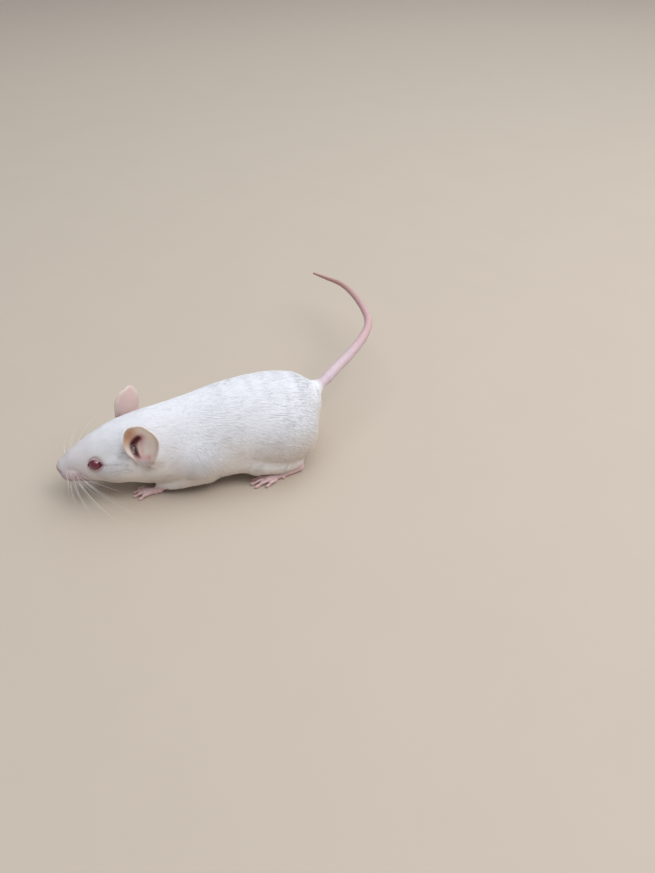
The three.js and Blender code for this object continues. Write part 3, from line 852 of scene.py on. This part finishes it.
def skinFacts(mesh, p, away):
    # each point's colour, bareness and hair
    normal = normalsOf(mesh)
    q = p.copy()
    q[:, 1] = np.abs(q[:, 1])
    x = q[:, 0]
    names = np.array(partNames)[away.argmin(1)]
    tailAway, tailAt = nearPath(p, tailPath[::2])
    tone = np.tile(tones["fur"], (len(p), 1))
    # painted warm shade: surfaces that face down take the warmer, darker belly tone
    tone = blended(tone, tones["belly"], 1 - smoothStep(-0.3, 0.75, normal[:, 2]))
    tone = blended(tone, tones["snout"], 0.8 * (1 - smoothStep(3.0, 15.0, x)))
    tone, lip, nose = faceTones(tone, p, q)
    # the lids
    outside, out = lidDistance(q)
    atEye = (np.linalg.norm(q - np.array(eye["middle"]), axis=1) < 4.6) & (out > -0.6)
    tone = blended(tone, tones["lidSkin"], 0.8 * np.where(atEye, 1 - smoothStep(0.15, 1.1, outside), 0))
    tone = blended(tone, tones["lidRim"], np.where(atEye, 1 - smoothStep(0.05, 0.3, outside), 0))
    lidBare = np.where(atEye, 1 - smoothStep(0.1, 0.5, outside), 0)
    tone, earBare, bowl = earTones(tone, p, q, normal, names)
    tone, foot, onTail = footAndTailTones(tone, q, names, away, tailAway, tailAt)
    bare = np.maximum.reduce([lip * 0.6, nose, lidBare, earBare, foot, onTail])
    # the hair's length is less on the legs, round the eyes, ears and tail, and on the feet
    armAway = limbField(q, body["forearm"]) + body["legCoat"]
    shankAway = limbField(q, body["shank"]) + body["legCoat"]
    length = smoothThrough(hair["length"])(x)
    for shorter, share in ((hair["legLength"], 1 - smoothStep(0.0, 3.5, np.minimum(armAway, shankAway))),
                           (hair["lidLength"], np.where(atEye, 1 - smoothStep(0.4, 2.0, outside), 0))):
        length = mix(length, np.minimum(length, shorter), share)
    length = mix(length, hair["footLength"], foot)
    for shorter, share in ((hair["earLength"], 1 - smoothStep(0.3, 3.0, bowl)),
                           (hair["tailLength"], 1 - smoothStep(2.4, 6.5, tailAway))):
        length = mix(length, np.minimum(length, shorter), share)
    atEar = np.exp(-((bowl / 1.6) ** 2))
    lie = hairLie(p, q, normal, armAway, shankAway, tailAway, tailAt)
    lift = hairLift(p, lie, normal, length, atEar, names == "body")
    width = hair["width"] + hair["widthByLength"] * length
    density = hair["cover"] / (0.6 * width * length) * (1 - smoothStep(0.25, 0.75, bare)) * (1 + 0.8 * atEar)
    # a little short hair stays on top of the feet
    density = np.maximum(density, 6 * foot * (q[:, 2] > 1.3) * (normal[:, 2] > 0.1))
    density[nose > 0.3] = 0
    # how the coat unwraps: round each side from the belly to the back, and from the nose to the rump
    back, belly = (curve(np.clip(x, 0, body["end"])) for curve in shape[:2])
    around = np.arctan2(q[:, 1], belly + 0.45 * (back - belly) - q[:, 2]) / math.pi
    flow = np.stack([x, around * 45 * np.sign(p[:, 1]), tailAt], 1)
    return {"tone": tone, "bare": bare, "lie": lie, "hairLength": length, "hairLift": lift,
            "hairWidth": width, "hairDensity": density, "around": around, "flow": flow, "onTail": onTail}


def giveAttribute(mesh, name, values, domain="POINT"):
    values = np.asarray(values)
    kind, field = {1: ("FLOAT", "value"), 2: ("FLOAT2", "vector"), 3: ("FLOAT_VECTOR", "vector"),
                   4: ("FLOAT_COLOR", "color")}[1 if values.ndim == 1 else values.shape[1]]
    if values.dtype.kind == "i":
        kind = "INT"
    mesh.attributes.new(name, kind, domain).data.foreach_set(field, values.ravel())


def joinSmoothed(mesh, p, away):
    # the creases where the parts meet are rounded
    second = np.sort(away, 1)[:, 1]
    soft = 0.5 * (1 - smoothStep(0.15, 0.9, second))
    soft[p[:, 2] < 0.02] = 0  # the soles stay flat
    return relaxed(p, edgesOf(mesh), soft, 10)


skinMesh.polygons.foreach_set("use_smooth", [True] * len(skinMesh.polygons))
points = joinSmoothed(skinMesh, points, away)
setPoints(skinMesh, points)
facts = skinFacts(skinMesh, points, away)
giveAttribute(skinMesh, "tone", np.c_[facts["tone"], np.ones(len(points))])
for name in ("bare", "flow", "onTail"):
    giveAttribute(skinMesh, name, facts[name])
print("skin measured")

# The coat.
coat = {
    # each piece's stretch of the body, and its side
    "pieces": {
        "coatFaceLeft": (-5, 13, -1), "coatFaceRight": (-5, 13, 1),
        "coatHeadLeft": (13, 24, -1), "coatHeadRight": (13, 24, 1),
        "coatNeckLeft": (24, 37, -1), "coatNeckRight": (24, 37, 1),
        "coatSideLeft": (37, 62, -1), "coatSideRight": (37, 62, 1),
        "coatRumpLeft": (62, 100, -1), "coatRumpRight": (62, 100, 1),
    },
    # each tuft's halfway bend to the side and its rise, and its tip's
    "tufts": [((0.0, 0.015), (0.05, -0.035)), ((-0.07, 0.018), (-0.18, -0.04)),
              ((0.08, 0.016), (0.2, -0.03))],
    "width": 0.7, "bulge": 1.0, "bulgeAt": 0.45, "edge": 0.55, "rootRise": 0.012,
    "patch": 0.003, "jitter": 0.022, "sizeSpread": (0.75, 1.2), "softness": 0.99, "floorGap": 0.1,
    # the most tufts in a piece, and the share of them to aim at
    "most": 19900, "fill": 0.985,
    "spare": ("tuftUV", "lie", "hairLift", "hairWidth", "hairDensity", "hairLength", "rootUV", "flow",
              "onTail", "bare", "rootNormal"),
}


def tuftMesh(bend, tip):
    # a flat lock one wide and one long that lies along +Y and closes to a point
    (middleSide, middleUp), (tipSide, tipUp) = bend, tip
    rootHalf, middleHalf, halfway = coat["width"] / 2, coat["bulge"] / 2, coat["bulgeAt"]
    edgeUp = coat["edge"] * middleUp
    points = [(-rootHalf, 0, 0), (rootHalf, 0, 0), (0, 0, coat["rootRise"]),
              (middleSide - middleHalf, halfway, edgeUp), (middleSide + middleHalf, halfway, edgeUp),
              (middleSide, halfway, middleUp), (tipSide, 1, tipUp)]
    faces = [(0, 2, 1)]
    for a, b in ((0, 1), (1, 2), (2, 0)):
        faces += [(a, b, b + 3), (a, b + 3, a + 3), (a + 3, b + 3, 6)]
    mesh = bpy.data.meshes.new("tuft")
    mesh.from_pydata(points, [], faces)
    laid = mesh.attributes.new("tuftUV", "FLOAT2", "CORNER")
    for loop in mesh.loops:
        x, y, _ = points[loop.vertex_index]
        laid.data[loop.index].vector = (x + 0.5, y)
    along = mesh.attributes.new("tuftAlong", "FLOAT", "POINT")
    along.data.foreach_set("value", [y for _, y, _ in points])
    return mesh


class Tree:
    # a node tree that takes links as arguments
    def __init__(self, tree):
        self.tree = tree

    def node(self, kind, inputs=(), **settings):
        made = self.tree.nodes.new(kind)
        for key, value in settings.items():
            setattr(made, key, value)
        for key, value in dict(inputs).items():
            socket = made.inputs[key] if isinstance(key, int) else next(
                s for s in made.inputs if s.identifier == key or (s.name == key and s.enabled))
            if isinstance(value, bpy.types.NodeSocket):
                self.tree.links.new(value, socket)
            else:
                socket.default_value = value
        return made

    def named(self, name, kind="FLOAT"):
        made = self.node("GeometryNodeInputNamedAttribute", {"Name": name}, data_type=kind)
        return made.outputs["Attribute"]

    def stored(self, geometry, name, value, kind="FLOAT", domain="POINT"):
        inputs = {"Geometry": geometry, "Name": name, "Value": value}
        node = self.node("GeometryNodeStoreNamedAttribute", inputs, data_type=kind, domain=domain)
        return node.outputs["Geometry"]

    def vector(self, operation, a, b=None, scale=None):
        inputs = {0: a}
        if b is not None:
            inputs[1] = b
        if scale is not None:
            inputs[3] = scale
        return self.node("ShaderNodeVectorMath", inputs, operation=operation).outputs[0]

    def number(self, operation, a, b=None):
        inputs = {0: a} if b is None else {0: a, 1: b}
        return self.node("ShaderNodeMath", inputs, operation=operation).outputs[0]

    def mapped(self, value, low, high):
        # a value from 0 to 1 spread from low to high
        return self.node("ShaderNodeMapRange", {"Value": value, "To Min": low, "To Max": high}).outputs[0]


def coatTree(tufts):
    made = bpy.data.node_groups.new("coatTufts", "GeometryNodeTree")
    sockets = {}
    for name, kind in (("Skin", "Geometry"), ("Piece", "Int"), ("Seed", "Int"), ("Share", "Float"),
                       ("Material", "Material")):
        socket = made.interface.new_socket(name, in_out="INPUT", socket_type="NodeSocket" + kind)
        sockets[name] = socket.identifier
    made.interface.new_socket("Coat", in_out="OUTPUT", socket_type="NodeSocketGeometry")
    t = Tree(made)
    given = t.node("NodeGroupInput").outputs
    inPiece = t.node("FunctionNodeCompare", {"A_INT": t.named("piece", "INT"), "B_INT": given["Piece"]},
                     data_type="INT", operation="EQUAL").outputs[0]
    density = t.number("MULTIPLY", t.named("hairDensity"), given["Share"])
    spread = t.node("GeometryNodeDistributePointsOnFaces",
                    {"Mesh": given["Skin"], "Selection": inPiece, "Density": density, "Seed": given["Seed"]})
    roots = t.stored(spread.outputs["Points"], "rootNormal", spread.outputs["Normal"], "FLOAT_VECTOR")

    def randomly(low, high, seed, vector=False):
        ends = {"Min": low, "Max": high} if vector else {"Min_001": low, "Max_001": high}
        node = t.node("FunctionNodeRandomValue", {**ends, "Seed": seed},
                      data_type="FLOAT_VECTOR" if vector else "FLOAT")
        return node.outputs[0 if vector else 1]

    jitter = coat["jitter"]
    normal = t.named("rootNormal", "FLOAT_VECTOR")
    lifted = t.vector("ADD", t.named("lie", "FLOAT_VECTOR"),
                      t.vector("SCALE", normal, scale=t.named("hairLift")))
    way = t.vector("ADD", lifted, randomly((-jitter,) * 3, (jitter,) * 3, 11, vector=True))
    turn = t.node("FunctionNodeAxesToRotation", {"Primary Axis": way, "Secondary Axis": normal},
                  primary_axis="Y", secondary_axis="Z").outputs[0]
    size = randomly(*coat["sizeSpread"], 12)
    long = t.number("MULTIPLY", t.named("hairLength"), size)
    wide = t.number("MULTIPLY", t.named("hairWidth"), size)
    scale = t.node("ShaderNodeCombineXYZ", {"X": wide, "Y": long, "Z": long}).outputs[0]
    roots = t.stored(roots, "tuftValue", randomly(0.0, 1.0, 13))
    which = t.node("FunctionNodeRandomValue", {"Min_002": 0, "Max_002": len(coat["tufts"]) - 1, "Seed": 14},
                   data_type="INT").outputs[2]
    kinds = t.node("GeometryNodeCollectionInfo", {"Collection": tufts, "Separate Children": True,
                                                  "Reset Children": True}).outputs[0]
    placed = t.node("GeometryNodeInstanceOnPoints",
                    {"Points": roots, "Instance": kinds, "Pick Instance": True, "Instance Index": which,
                     "Rotation": turn, "Scale": t.vector("SCALE", scale, scale=millimetre)}).outputs[0]
    whole = t.node("GeometryNodeRealizeInstances", {"Geometry": placed}).outputs[0]
    within = t.vector("SCALE", t.vector("SUBTRACT", t.named("tuftUV", "FLOAT_VECTOR"), (0.5, 0.5, 0)),
                      scale=coat["patch"])
    laid = t.vector("ADD", t.named("rootUV", "FLOAT_VECTOR"), within)
    whole = t.stored(whole, "OFBake", laid, "FLOAT2", "CORNER")
    place = t.node("ShaderNodeSeparateXYZ", {0: t.node("GeometryNodeInputPosition").outputs[0]}).outputs
    above = t.number("MAXIMUM", place[2], coat["floorGap"] * millimetre)
    clamped = t.node("ShaderNodeCombineXYZ", {"X": place[0], "Y": place[1], "Z": above}).outputs[0]
    whole = t.node("GeometryNodeSetPosition", {"Geometry": whole, "Position": clamped}).outputs[0]
    own = t.node("GeometryNodeInputNormal").outputs[0]
    soft = t.vector("ADD", t.vector("SCALE", own, scale=1 - coat["softness"]),
                    t.vector("SCALE", normal, scale=coat["softness"]))
    whole = t.node("GeometryNodeSetMeshNormal", {"Mesh": whole, "Custom Normal": t.vector("NORMALIZE", soft)},
                   mode="FREE", domain="POINT").outputs[0]
    whole = t.node("GeometryNodeSetMaterial", {"Geometry": whole, "Material": given["Material"]}).outputs[0]
    made.links.new(whole, t.node("NodeGroupOutput").inputs[0])
    return made, sockets


def coatPieces(material):
    tufts = bpy.data.collections.new("tufts")
    for bend, tip in coat["tufts"]:
        tufts.objects.link(bpy.data.objects.new("tuft", tuftMesh(bend, tip)))
    tree, sockets = coatTree(tufts)
    source = bpy.data.objects.new("coatSource", skinMesh.copy())
    bpy.context.scene.collection.objects.link(source)
    mesh = source.data
    for name in ("lie", "hairLength", "hairLift", "hairWidth"):
        giveAttribute(mesh, name, facts[name])
    giveAttribute(mesh, "hairDensity", facts["hairDensity"] / millimetre**2)
    corners = np.empty(len(mesh.polygons) * 3, dtype=np.int64)
    mesh.polygons.foreach_get("vertices", corners)
    corners = corners.reshape(-1, 3)
    middle = points[corners].mean(1)
    area = np.linalg.norm(np.cross(points[corners[:, 1]] - points[corners[:, 0]],
                                   points[corners[:, 2]] - points[corners[:, 0]]), axis=1) / 2
    rootUV = np.zeros((len(points), 3))
    piece = np.full(len(middle), -1)
    shares = []
    for i, (low, high, side) in enumerate(coat["pieces"].values()):
        inside = (middle[:, 0] >= low) & (middle[:, 0] < high) & ((middle[:, 1] > 0) == (side > 0))
        piece[inside] = i
        used = np.unique(corners[inside])
        rootUV[used, 0] = mix(0.02, 0.98, facts["around"][used])
        rootUV[used, 1] = mix(0.02, 0.98, np.clip((points[used, 0] - low) / (min(high, 90) - low), 0, 1))
        count = (area[inside] * facts["hairDensity"][corners[inside]].mean(1)).sum()
        shares.append(min(1, coat["most"] * coat["fill"] / count))
        print("  piece", i, "tufts", int(count), "share", round(shares[-1], 2))
    giveAttribute(mesh, "rootUV", rootUV)
    giveAttribute(mesh, "piece", piece.astype(np.int32), "FACE")
    made = []
    for i, name in enumerate(coat["pieces"]):
        grown = source.modifiers.new("coat", "NODES")
        grown.node_group = tree
        for key, value in (("Piece", i), ("Seed", 40 + i), ("Share", shares[i]), ("Material", material)):
            grown[sockets[key]] = value
        mesh = bpy.data.meshes.new_from_object(source.evaluated_get(bpy.context.evaluated_depsgraph_get()))
        source.modifiers.remove(grown)
        for spare in [a.name for a in mesh.attributes if a.name in coat["spare"]]:
            mesh.attributes.remove(mesh.attributes[spare])
        mesh.name = name
        made.append(bpy.data.objects.new(name, mesh))
    bpy.data.objects.remove(source)
    return made


# The materials.
textures = {
    # how fine the unevenness of each colour is and how strong
    "mottle": {"skin": (420.0, 0.1), "fur": (160.0, 0.05), "eye": (900.0, 0.3), "claw": (1500.0, 0.25),
               "whisker": (900.0, 0.25), "floor": (30.0, 0.05)},
    # the depths of the bumps in metres
    "furStreak": 0.00007, "pore": 0.00004, "tailRing": 0.00005, "furGrain": 0.00003, "eyeGrain": 0.00001,
    "hornGrain": 0.00002,
    # the least brightness of a lock, and of its root and of the skin under the fur, which are darkened as
    # painted shade deep in the coat
    "furLeast": 0.98, "rootShadeLeast": 0.985, "underFurShade": 0.96,
    "skinRough": (0.85, 0.5), "streakSize": (0.32, 2.6, 0.0), "poreSize": 2600.0,
    "pupil": ((0.0, "#6c0c26"), (0.1, "#55071a"), (0.2, "#3e0412"), (1.0, "#28030d")),
}
horn = {"Subsurface Weight": 0.3, "Subsurface Radius": (1.0, 0.7, 0.5), "Subsurface Scale": 0.0006}
finishes = {
    "skin": {"Subsurface Weight": 0.25, "Subsurface Radius": (1.0, 0.4, 0.25), "Subsurface Scale": 0.0012,
             "Specular IOR Level": 0.35},
    "fur": {"Roughness": 0.72, "Specular IOR Level": 0.3, "Sheen Weight": 0.15, "Sheen Roughness": 0.5},
    "eyeRed": {"Roughness": 0.25, "Coat Weight": 1.0, "Coat Roughness": 0.06, "Coat IOR": 1.5},
    "claw": {"Roughness": 0.35, **horn}, "whisker": {"Roughness": 0.4, **horn}, "floor": {"Roughness": 0.8},
}


def materialTree(name):
    material = bpy.data.materials.new(name)
    material.use_nodes = True
    surface = material.node_tree.nodes["Principled BSDF"]
    for socket, value in finishes[name].items():
        surface.inputs[socket].default_value = value
    return material, Tree(material.node_tree), surface


def mottleGroup():
    # a colour made unevenly lighter and darker over its surface
    made = bpy.data.node_groups.new("mottle", "ShaderNodeTree")
    for name, end, kind in (("Tone", "INPUT", "Color"), ("Fineness", "INPUT", "Float"),
                            ("Amount", "INPUT", "Float"), ("Tone", "OUTPUT", "Color"),
                            ("Grain", "OUTPUT", "Float")):
        made.interface.new_socket(name, in_out=end, socket_type="NodeSocket" + kind)
    t = Tree(made)
    given = t.node("NodeGroupInput").outputs
    place = t.node("ShaderNodeTexCoord").outputs["Object"]
    noise = t.node("ShaderNodeTexNoise", {"Vector": place, "Scale": given["Fineness"], "Detail": 5.0,
                                          "Roughness": 0.6}).outputs[0]
    off = t.number("MULTIPLY", t.number("SUBTRACT", noise, 0.5), given["Amount"])
    level = t.number("ADD", off, 1.0)
    out = t.node("NodeGroupOutput")
    made.links.new(t.vector("SCALE", given["Tone"], scale=level), out.inputs["Tone"])
    made.links.new(noise, out.inputs["Grain"])
    return made


mottle = mottleGroup()


def mottled(t, tone, name):
    fineness, amount = textures["mottle"][name]
    return t.node("ShaderNodeGroup", {"Tone": tone, "Fineness": fineness, "Amount": amount},
                  node_tree=mottle).outputs


def bumped(t, height, depth, strength=1.0, under=None):
    inputs = {"Height": height, "Distance": textures[depth], "Strength": strength}
    if under:
        inputs["Normal"] = under
    return t.node("ShaderNodeBump", inputs).outputs[0]


def linked(t, surface, links):
    for socket, value in links.items():
        t.tree.links.new(value, surface.inputs[socket])


def attributeOf(t, name):
    return t.node("ShaderNodeAttribute", attribute_name=name).outputs


def skinMaterial():
    # pink where it is bare, with pores and the tail's rings, and streaked where fur covers it
    material, t, surface = materialTree("skin")
    bare = attributeOf(t, "bare")["Fac"]
    # painted shade: the skin under the fur is darker than bare skin
    level = t.mapped(bare, textures["underFurShade"], 1.0)
    even = mottled(t, t.vector("SCALE", attributeOf(t, "tone")["Color"], scale=level), "skin")
    flow = attributeOf(t, "flow")["Vector"]
    streaks = t.node("ShaderNodeTexNoise", {"Vector": t.vector("MULTIPLY", flow, textures["streakSize"]),
                                            "Scale": 1.0, "Detail": 3.0, "Roughness": 0.55}).outputs[0]
    furred = t.number("MULTIPLY", streaks, t.number("SUBTRACT", 1.0, bare))
    along = t.node("ShaderNodeSeparateXYZ", {0: flow}).outputs[2]
    ring = t.number("SINE", t.number("MULTIPLY", along, 2 * math.pi / tail["ring"]))
    ringed = t.number("MULTIPLY", ring, attributeOf(t, "onTail")["Fac"])
    pores = t.node("ShaderNodeTexVoronoi", {"Vector": t.node("ShaderNodeTexCoord").outputs["Object"],
                                            "Scale": textures["poreSize"]}).outputs["Distance"]
    normal = bumped(t, furred, "furStreak")
    normal = bumped(t, t.number("MULTIPLY", pores, bare), "pore", under=normal)
    normal = bumped(t, ringed, "tailRing", under=normal)
    rough = t.mapped(bare, *textures["skinRough"])
    linked(t, surface, {"Base Color": even["Tone"], "Normal": normal, "Roughness": rough})
    return material


def furMaterial():
    # the coat: each lock a little darker or lighter, and its root painted darker than its tip as shade deep
    # in the coat
    material, t, surface = materialTree("fur")
    even = mottled(t, attributeOf(t, "tone")["Color"], "fur")
    value = t.mapped(attributeOf(t, "tuftValue")["Fac"], textures["furLeast"], 1.0)
    # painted shade: each lock darkens towards its root
    depth = t.mapped(attributeOf(t, "tuftAlong")["Fac"], textures["rootShadeLeast"], 1.0)
    shaded = t.vector("SCALE", even["Tone"], scale=t.number("MULTIPLY", value, depth))
    linked(t, surface, {"Base Color": shaded, "Normal": bumped(t, even["Grain"], "furGrain", 0.6)})
    return material


def eyeMaterial():
    # dark wine red, lighter in the pupil, under a wet and clear surface
    material, t, surface = materialTree("eyeRed")
    ramp = t.node("ShaderNodeValToRGB", {"Fac": attributeOf(t, "fromPupil")["Fac"]})
    stops = ramp.color_ramp.elements
    for place, code in textures["pupil"]:
        stop = stops[0] if place == 0 else stops[1] if place == 1 else stops.new(place)
        stop.position, stop.color = place, (*shade(code), 1)
    even = mottled(t, ramp.outputs[0], "eye")
    linked(t, surface, {"Base Color": even["Tone"], "Normal": bumped(t, even["Grain"], "eyeGrain", 0.3)})
    return material


def hornMaterial(name, code):
    # claws and whiskers: pale and slightly clear
    material, t, surface = materialTree(name)
    even = mottled(t, (*shade(code), 1), name)
    linked(t, surface, {"Base Color": even["Tone"], "Normal": bumped(t, even["Grain"], "hornGrain", 0.5)})
    return material


def floorMaterial():
    material, t, surface = materialTree("floor")
    linked(t, surface, {"Base Color": mottled(t, (*shade(studio["floor"]), 1), "floor")["Tone"]})
    return material


def added(name, mesh, material):
    # a finished piece of the model, riding with it
    mesh.polygons.foreach_set("use_smooth", [True] * len(mesh.polygons))
    mesh.materials.clear()
    mesh.materials.append(material)
    mesh.polygons.foreach_set("material_index", [0] * len(mesh.polygons))
    piece = bpy.data.objects.new(name, mesh)
    bpy.context.scene.collection.objects.link(piece)
    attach(piece, "root")
    return piece


# The skin and the coat in place.
skin = added("skin", skinMesh, skinMaterial())
pairs = [name + side for name in ("ear", "fore_leg", "hind_leg", "fore_foot", "hind_foot")
         for side in ("_left", "_right")]
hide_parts("nose", "head", "neck", "trunk", *pairs, "tail_base", "tail_middle", "tail_tip")
for piece in coatPieces(furMaterial()):
    bpy.context.scene.collection.objects.link(piece)
    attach(piece, "root")
print("coat grown")

# The eyes.
eyeball = {"rings": 24, "sides": 40, "cornea": 0.1, "corneaSize": 0.6}


def eyeSurface(side):
    # a ball that rises a little towards its look
    look, up, along = eyeFrame()
    angles = np.linspace(0, math.pi, eyeball["rings"] + 1)[1:-1]
    turns = np.linspace(0, 2 * math.pi, eyeball["sides"], endpoint=False)
    a, b = np.meshgrid(angles, turns, indexing="ij")
    a = np.r_[a.ravel(), 0, math.pi]
    b = np.r_[b.ravel(), 0, 0]
    radius = eye["radius"] + eyeball["cornea"] * np.exp(-((a / eyeball["corneaSize"]) ** 2))
    aside = np.cos(b)[:, None] * along + np.sin(b)[:, None] * up
    way = np.cos(a)[:, None] * look + np.sin(a)[:, None] * aside
    points = np.array(eye["middle"]) + radius[:, None] * way
    i = np.arange(len(angles) - 1)[:, None] * len(turns)
    j = np.arange(len(turns))[None, :]
    k = (j + 1) % len(turns)
    faces = np.stack([i + j, i + len(turns) + j, i + len(turns) + k, i + k], -1).reshape(-1, 4).tolist()
    top, bottom, last = len(points) - 2, len(points) - 1, (len(angles) - 1) * len(turns)
    faces += [[top, c, (c + 1) % len(turns)] for c in range(len(turns))]
    faces += [[bottom, last + (c + 1) % len(turns), last + c] for c in range(len(turns))]
    # outwards, whichever way the look, up and along turn
    if np.dot(np.cross(look, up), along) < 0:
        faces = [f[::-1] for f in faces]
    if side < 0:
        points, faces = points * [1, -1, 1], [f[::-1] for f in faces]
    return points, faces, a / math.pi


redEye = eyeMaterial()
for side, name, node in ((-1, "eyeballLeft", "eye_left"), (1, "eyeballRight", "eye_right")):
    ballPoints, ballFaces, out = eyeSurface(side)
    ball = added(name, meshFrom(name, ballPoints, ballFaces), redEye)
    giveAttribute(ball.data, "fromPupil", out)
    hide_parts(node)
print("eyes set")

# Claws and whiskers.
claw = {"radius": 0.26, "sides": 8, "rings": 7, "overlap": 0.45, "drop": 0.35}
whisker = {
    "radius": 0.05, "tip": 0.01, "sides": 5, "rings": 9, "shortest": 9.0, "longest": 23.0, "seed": 21,
    # which way they point: back at the pad's front and rear, and up at its top and foot
    "swing": (-0.25, 0.75), "rise": (0.45, -0.5), "spread": (0.07, 0.06), "padLength": 4.2, "padHeight": 3.4,
    "depth": 0.3, "sweep": (0.25, -0.06, 0), "sag": 0.12, "lowest": 0.5,
    "slitHairs": 6, "slitHairRadius": 0.06,
}


def joinedTubes(name, tubes):
    points, faces, count = [], [], 0
    for tubePoints, tubeFaces in tubes:
        points.append(tubePoints)
        faces += [[i + count for i in f] for f in tubeFaces]
        count += len(tubePoints)
    return meshFrom(name, np.vstack(points), faces)


def clawTubes():
    tubes = []
    for foot in feet.values():
        for digit in foot["digits"]:
            path = np.array(digitPath(foot, digit))
            way = unit(path[-1] - path[-3])
            start = path[-1] - way * claw["overlap"]
            tip = np.array([*digit[1], 0.12])
            t = np.linspace(0, 1, claw["rings"])[:, None]
            bend = np.array([0, 0, 1.0]) * claw["drop"] * np.sin(t * math.pi)
            line = mix(start, tip, t) + bend
            radii = claw["radius"] * np.sqrt(np.clip(1 - t[:, 0] ** 1.6, 0.01, 1))
            tube = tubeAlong(line, radii, claw["sides"])
            tubes += [tube, (tube[0] * [1, -1, 1], [f[::-1] for f in tube[1]])]
    return tubes


def whiskerTubes():
    random = np.random.default_rng(whisker["seed"])
    firstX, _, firstZ = face["whiskerFirst"]
    spreadBack, spreadUp = whisker["spread"]
    tubes = []
    for i, root in enumerate(whiskerRoots()):
        if i % 5 == 3:
            continue
        for side in (-1, 1):
            back = (root[0] - firstX) / whisker["padLength"]
            low = (firstZ - root[2]) / whisker["padHeight"]
            length = mix(whisker["shortest"], whisker["longest"], back) * random.uniform(0.8, 1.1)
            way = unit([mix(*whisker["swing"], back) + random.normal(0, spreadBack), 1,
                        mix(*whisker["rise"], low) + random.normal(0, spreadUp)])
            t = np.linspace(0, 1, whisker["rings"])[:, None]
            curve = (root - way * whisker["depth"] + way * length * t
                     + np.array(whisker["sweep"]) * length * t**2
                     - np.array([0, 0, whisker["sag"]]) * length * t**2)
            curve[:, 2] = np.maximum(curve[:, 2], whisker["lowest"])
            radii = mix(whisker["radius"], whisker["tip"], t[:, 0])
            tubes.append(tubeAlong(curve * [1, side, 1], radii, whisker["sides"]))
    return tubes


def slitHairTubes():
    # pale hairs that cross the lower part of the ear's opening
    random = np.random.default_rng(whisker["seed"] + 1)
    tubes = []
    for stance, side in (("left", -1), ("right", 1)):
        facing = earAxes(stance)[1]
        for share in np.linspace(0.12, 0.37, whisker["slitHairs"]):
            t = np.linspace(0, 1, 6)
            curve = cupPoint(share + 0.02 * t + random.normal(0, 0.004), mix(0.74, 0.4, t), stance)
            curve = curve + facing * (0.3 + 0.1 * np.sin(t * math.pi))[:, None]
            tubes.append(tubeAlong(curve * [1, side, 1], whisker["slitHairRadius"] * (1.1 - t), 4))
    return tubes


added("claws", joinedTubes("claws", clawTubes()), hornMaterial("claw", "#e6d3c6"))
hairs = joinedTubes("whiskers", whiskerTubes() + slitHairTubes())
added("whiskers", hairs, hornMaterial("whisker", "#efe9e2"))
print("claws and whiskers set")

# Floor and light.
studio = {
    "floor": "#bfb1a0", "floorHalf": 3.0, "target": (45, 0, 8),
    "keyWay": (0.48, -0.34, 0.85), "keyAway": 0.7, "keySize": 0.34, "keyPower": 1.4,
    "skyAt": (0.4, 0.1, 1.1), "skySize": 1.6, "skyPower": 15.0, "skyTint": (0.9, 0.95, 1.0),
    "world": (0.86, 0.9, 1.0), "worldLevel": 0.4,
}


def areaLight(name, place, size, power, target, tint=(1, 1, 1)):
    light = bpy.data.lights.new(name, "AREA")
    light.energy, light.size, light.color = power, size, tint
    lamp = bpy.data.objects.new(name, light)
    lamp.location = place
    lamp.rotation_euler = (Vector(target) - Vector(place)).to_track_quat("-Z", "Y").to_euler()
    bpy.context.scene.collection.objects.link(lamp)


half = studio["floorHalf"]
corners = [(-half, -half, 0), (half, -half, 0), (half, half, 0), (-half, half, 0)]
floorMesh = bpy.data.meshes.new("floor")
floorMesh.from_pydata(corners, [], [(0, 1, 2, 3)])
floorMesh.materials.append(floorMaterial())
floor = bpy.data.objects.new("floor", floorMesh)
bpy.context.scene.collection.objects.link(floor)
target = toWorld(studio["target"])
keyAt = target + unit(studio["keyWay"]) * studio["keyAway"]
areaLight("key", keyAt, studio["keySize"], studio["keyPower"], target)
areaLight("sky", target + studio["skyAt"], studio["skySize"], studio["skyPower"], target, studio["skyTint"])
world = bpy.data.worlds.new("world")
world.use_nodes = True
world.node_tree.nodes["Background"].inputs[0].default_value = (*studio["world"], 1)
world.node_tree.nodes["Background"].inputs[1].default_value = studio["worldLevel"]
bpy.context.scene.world = world
bpy.context.scene.view_settings.view_transform = "Standard"
print("floor and light set")
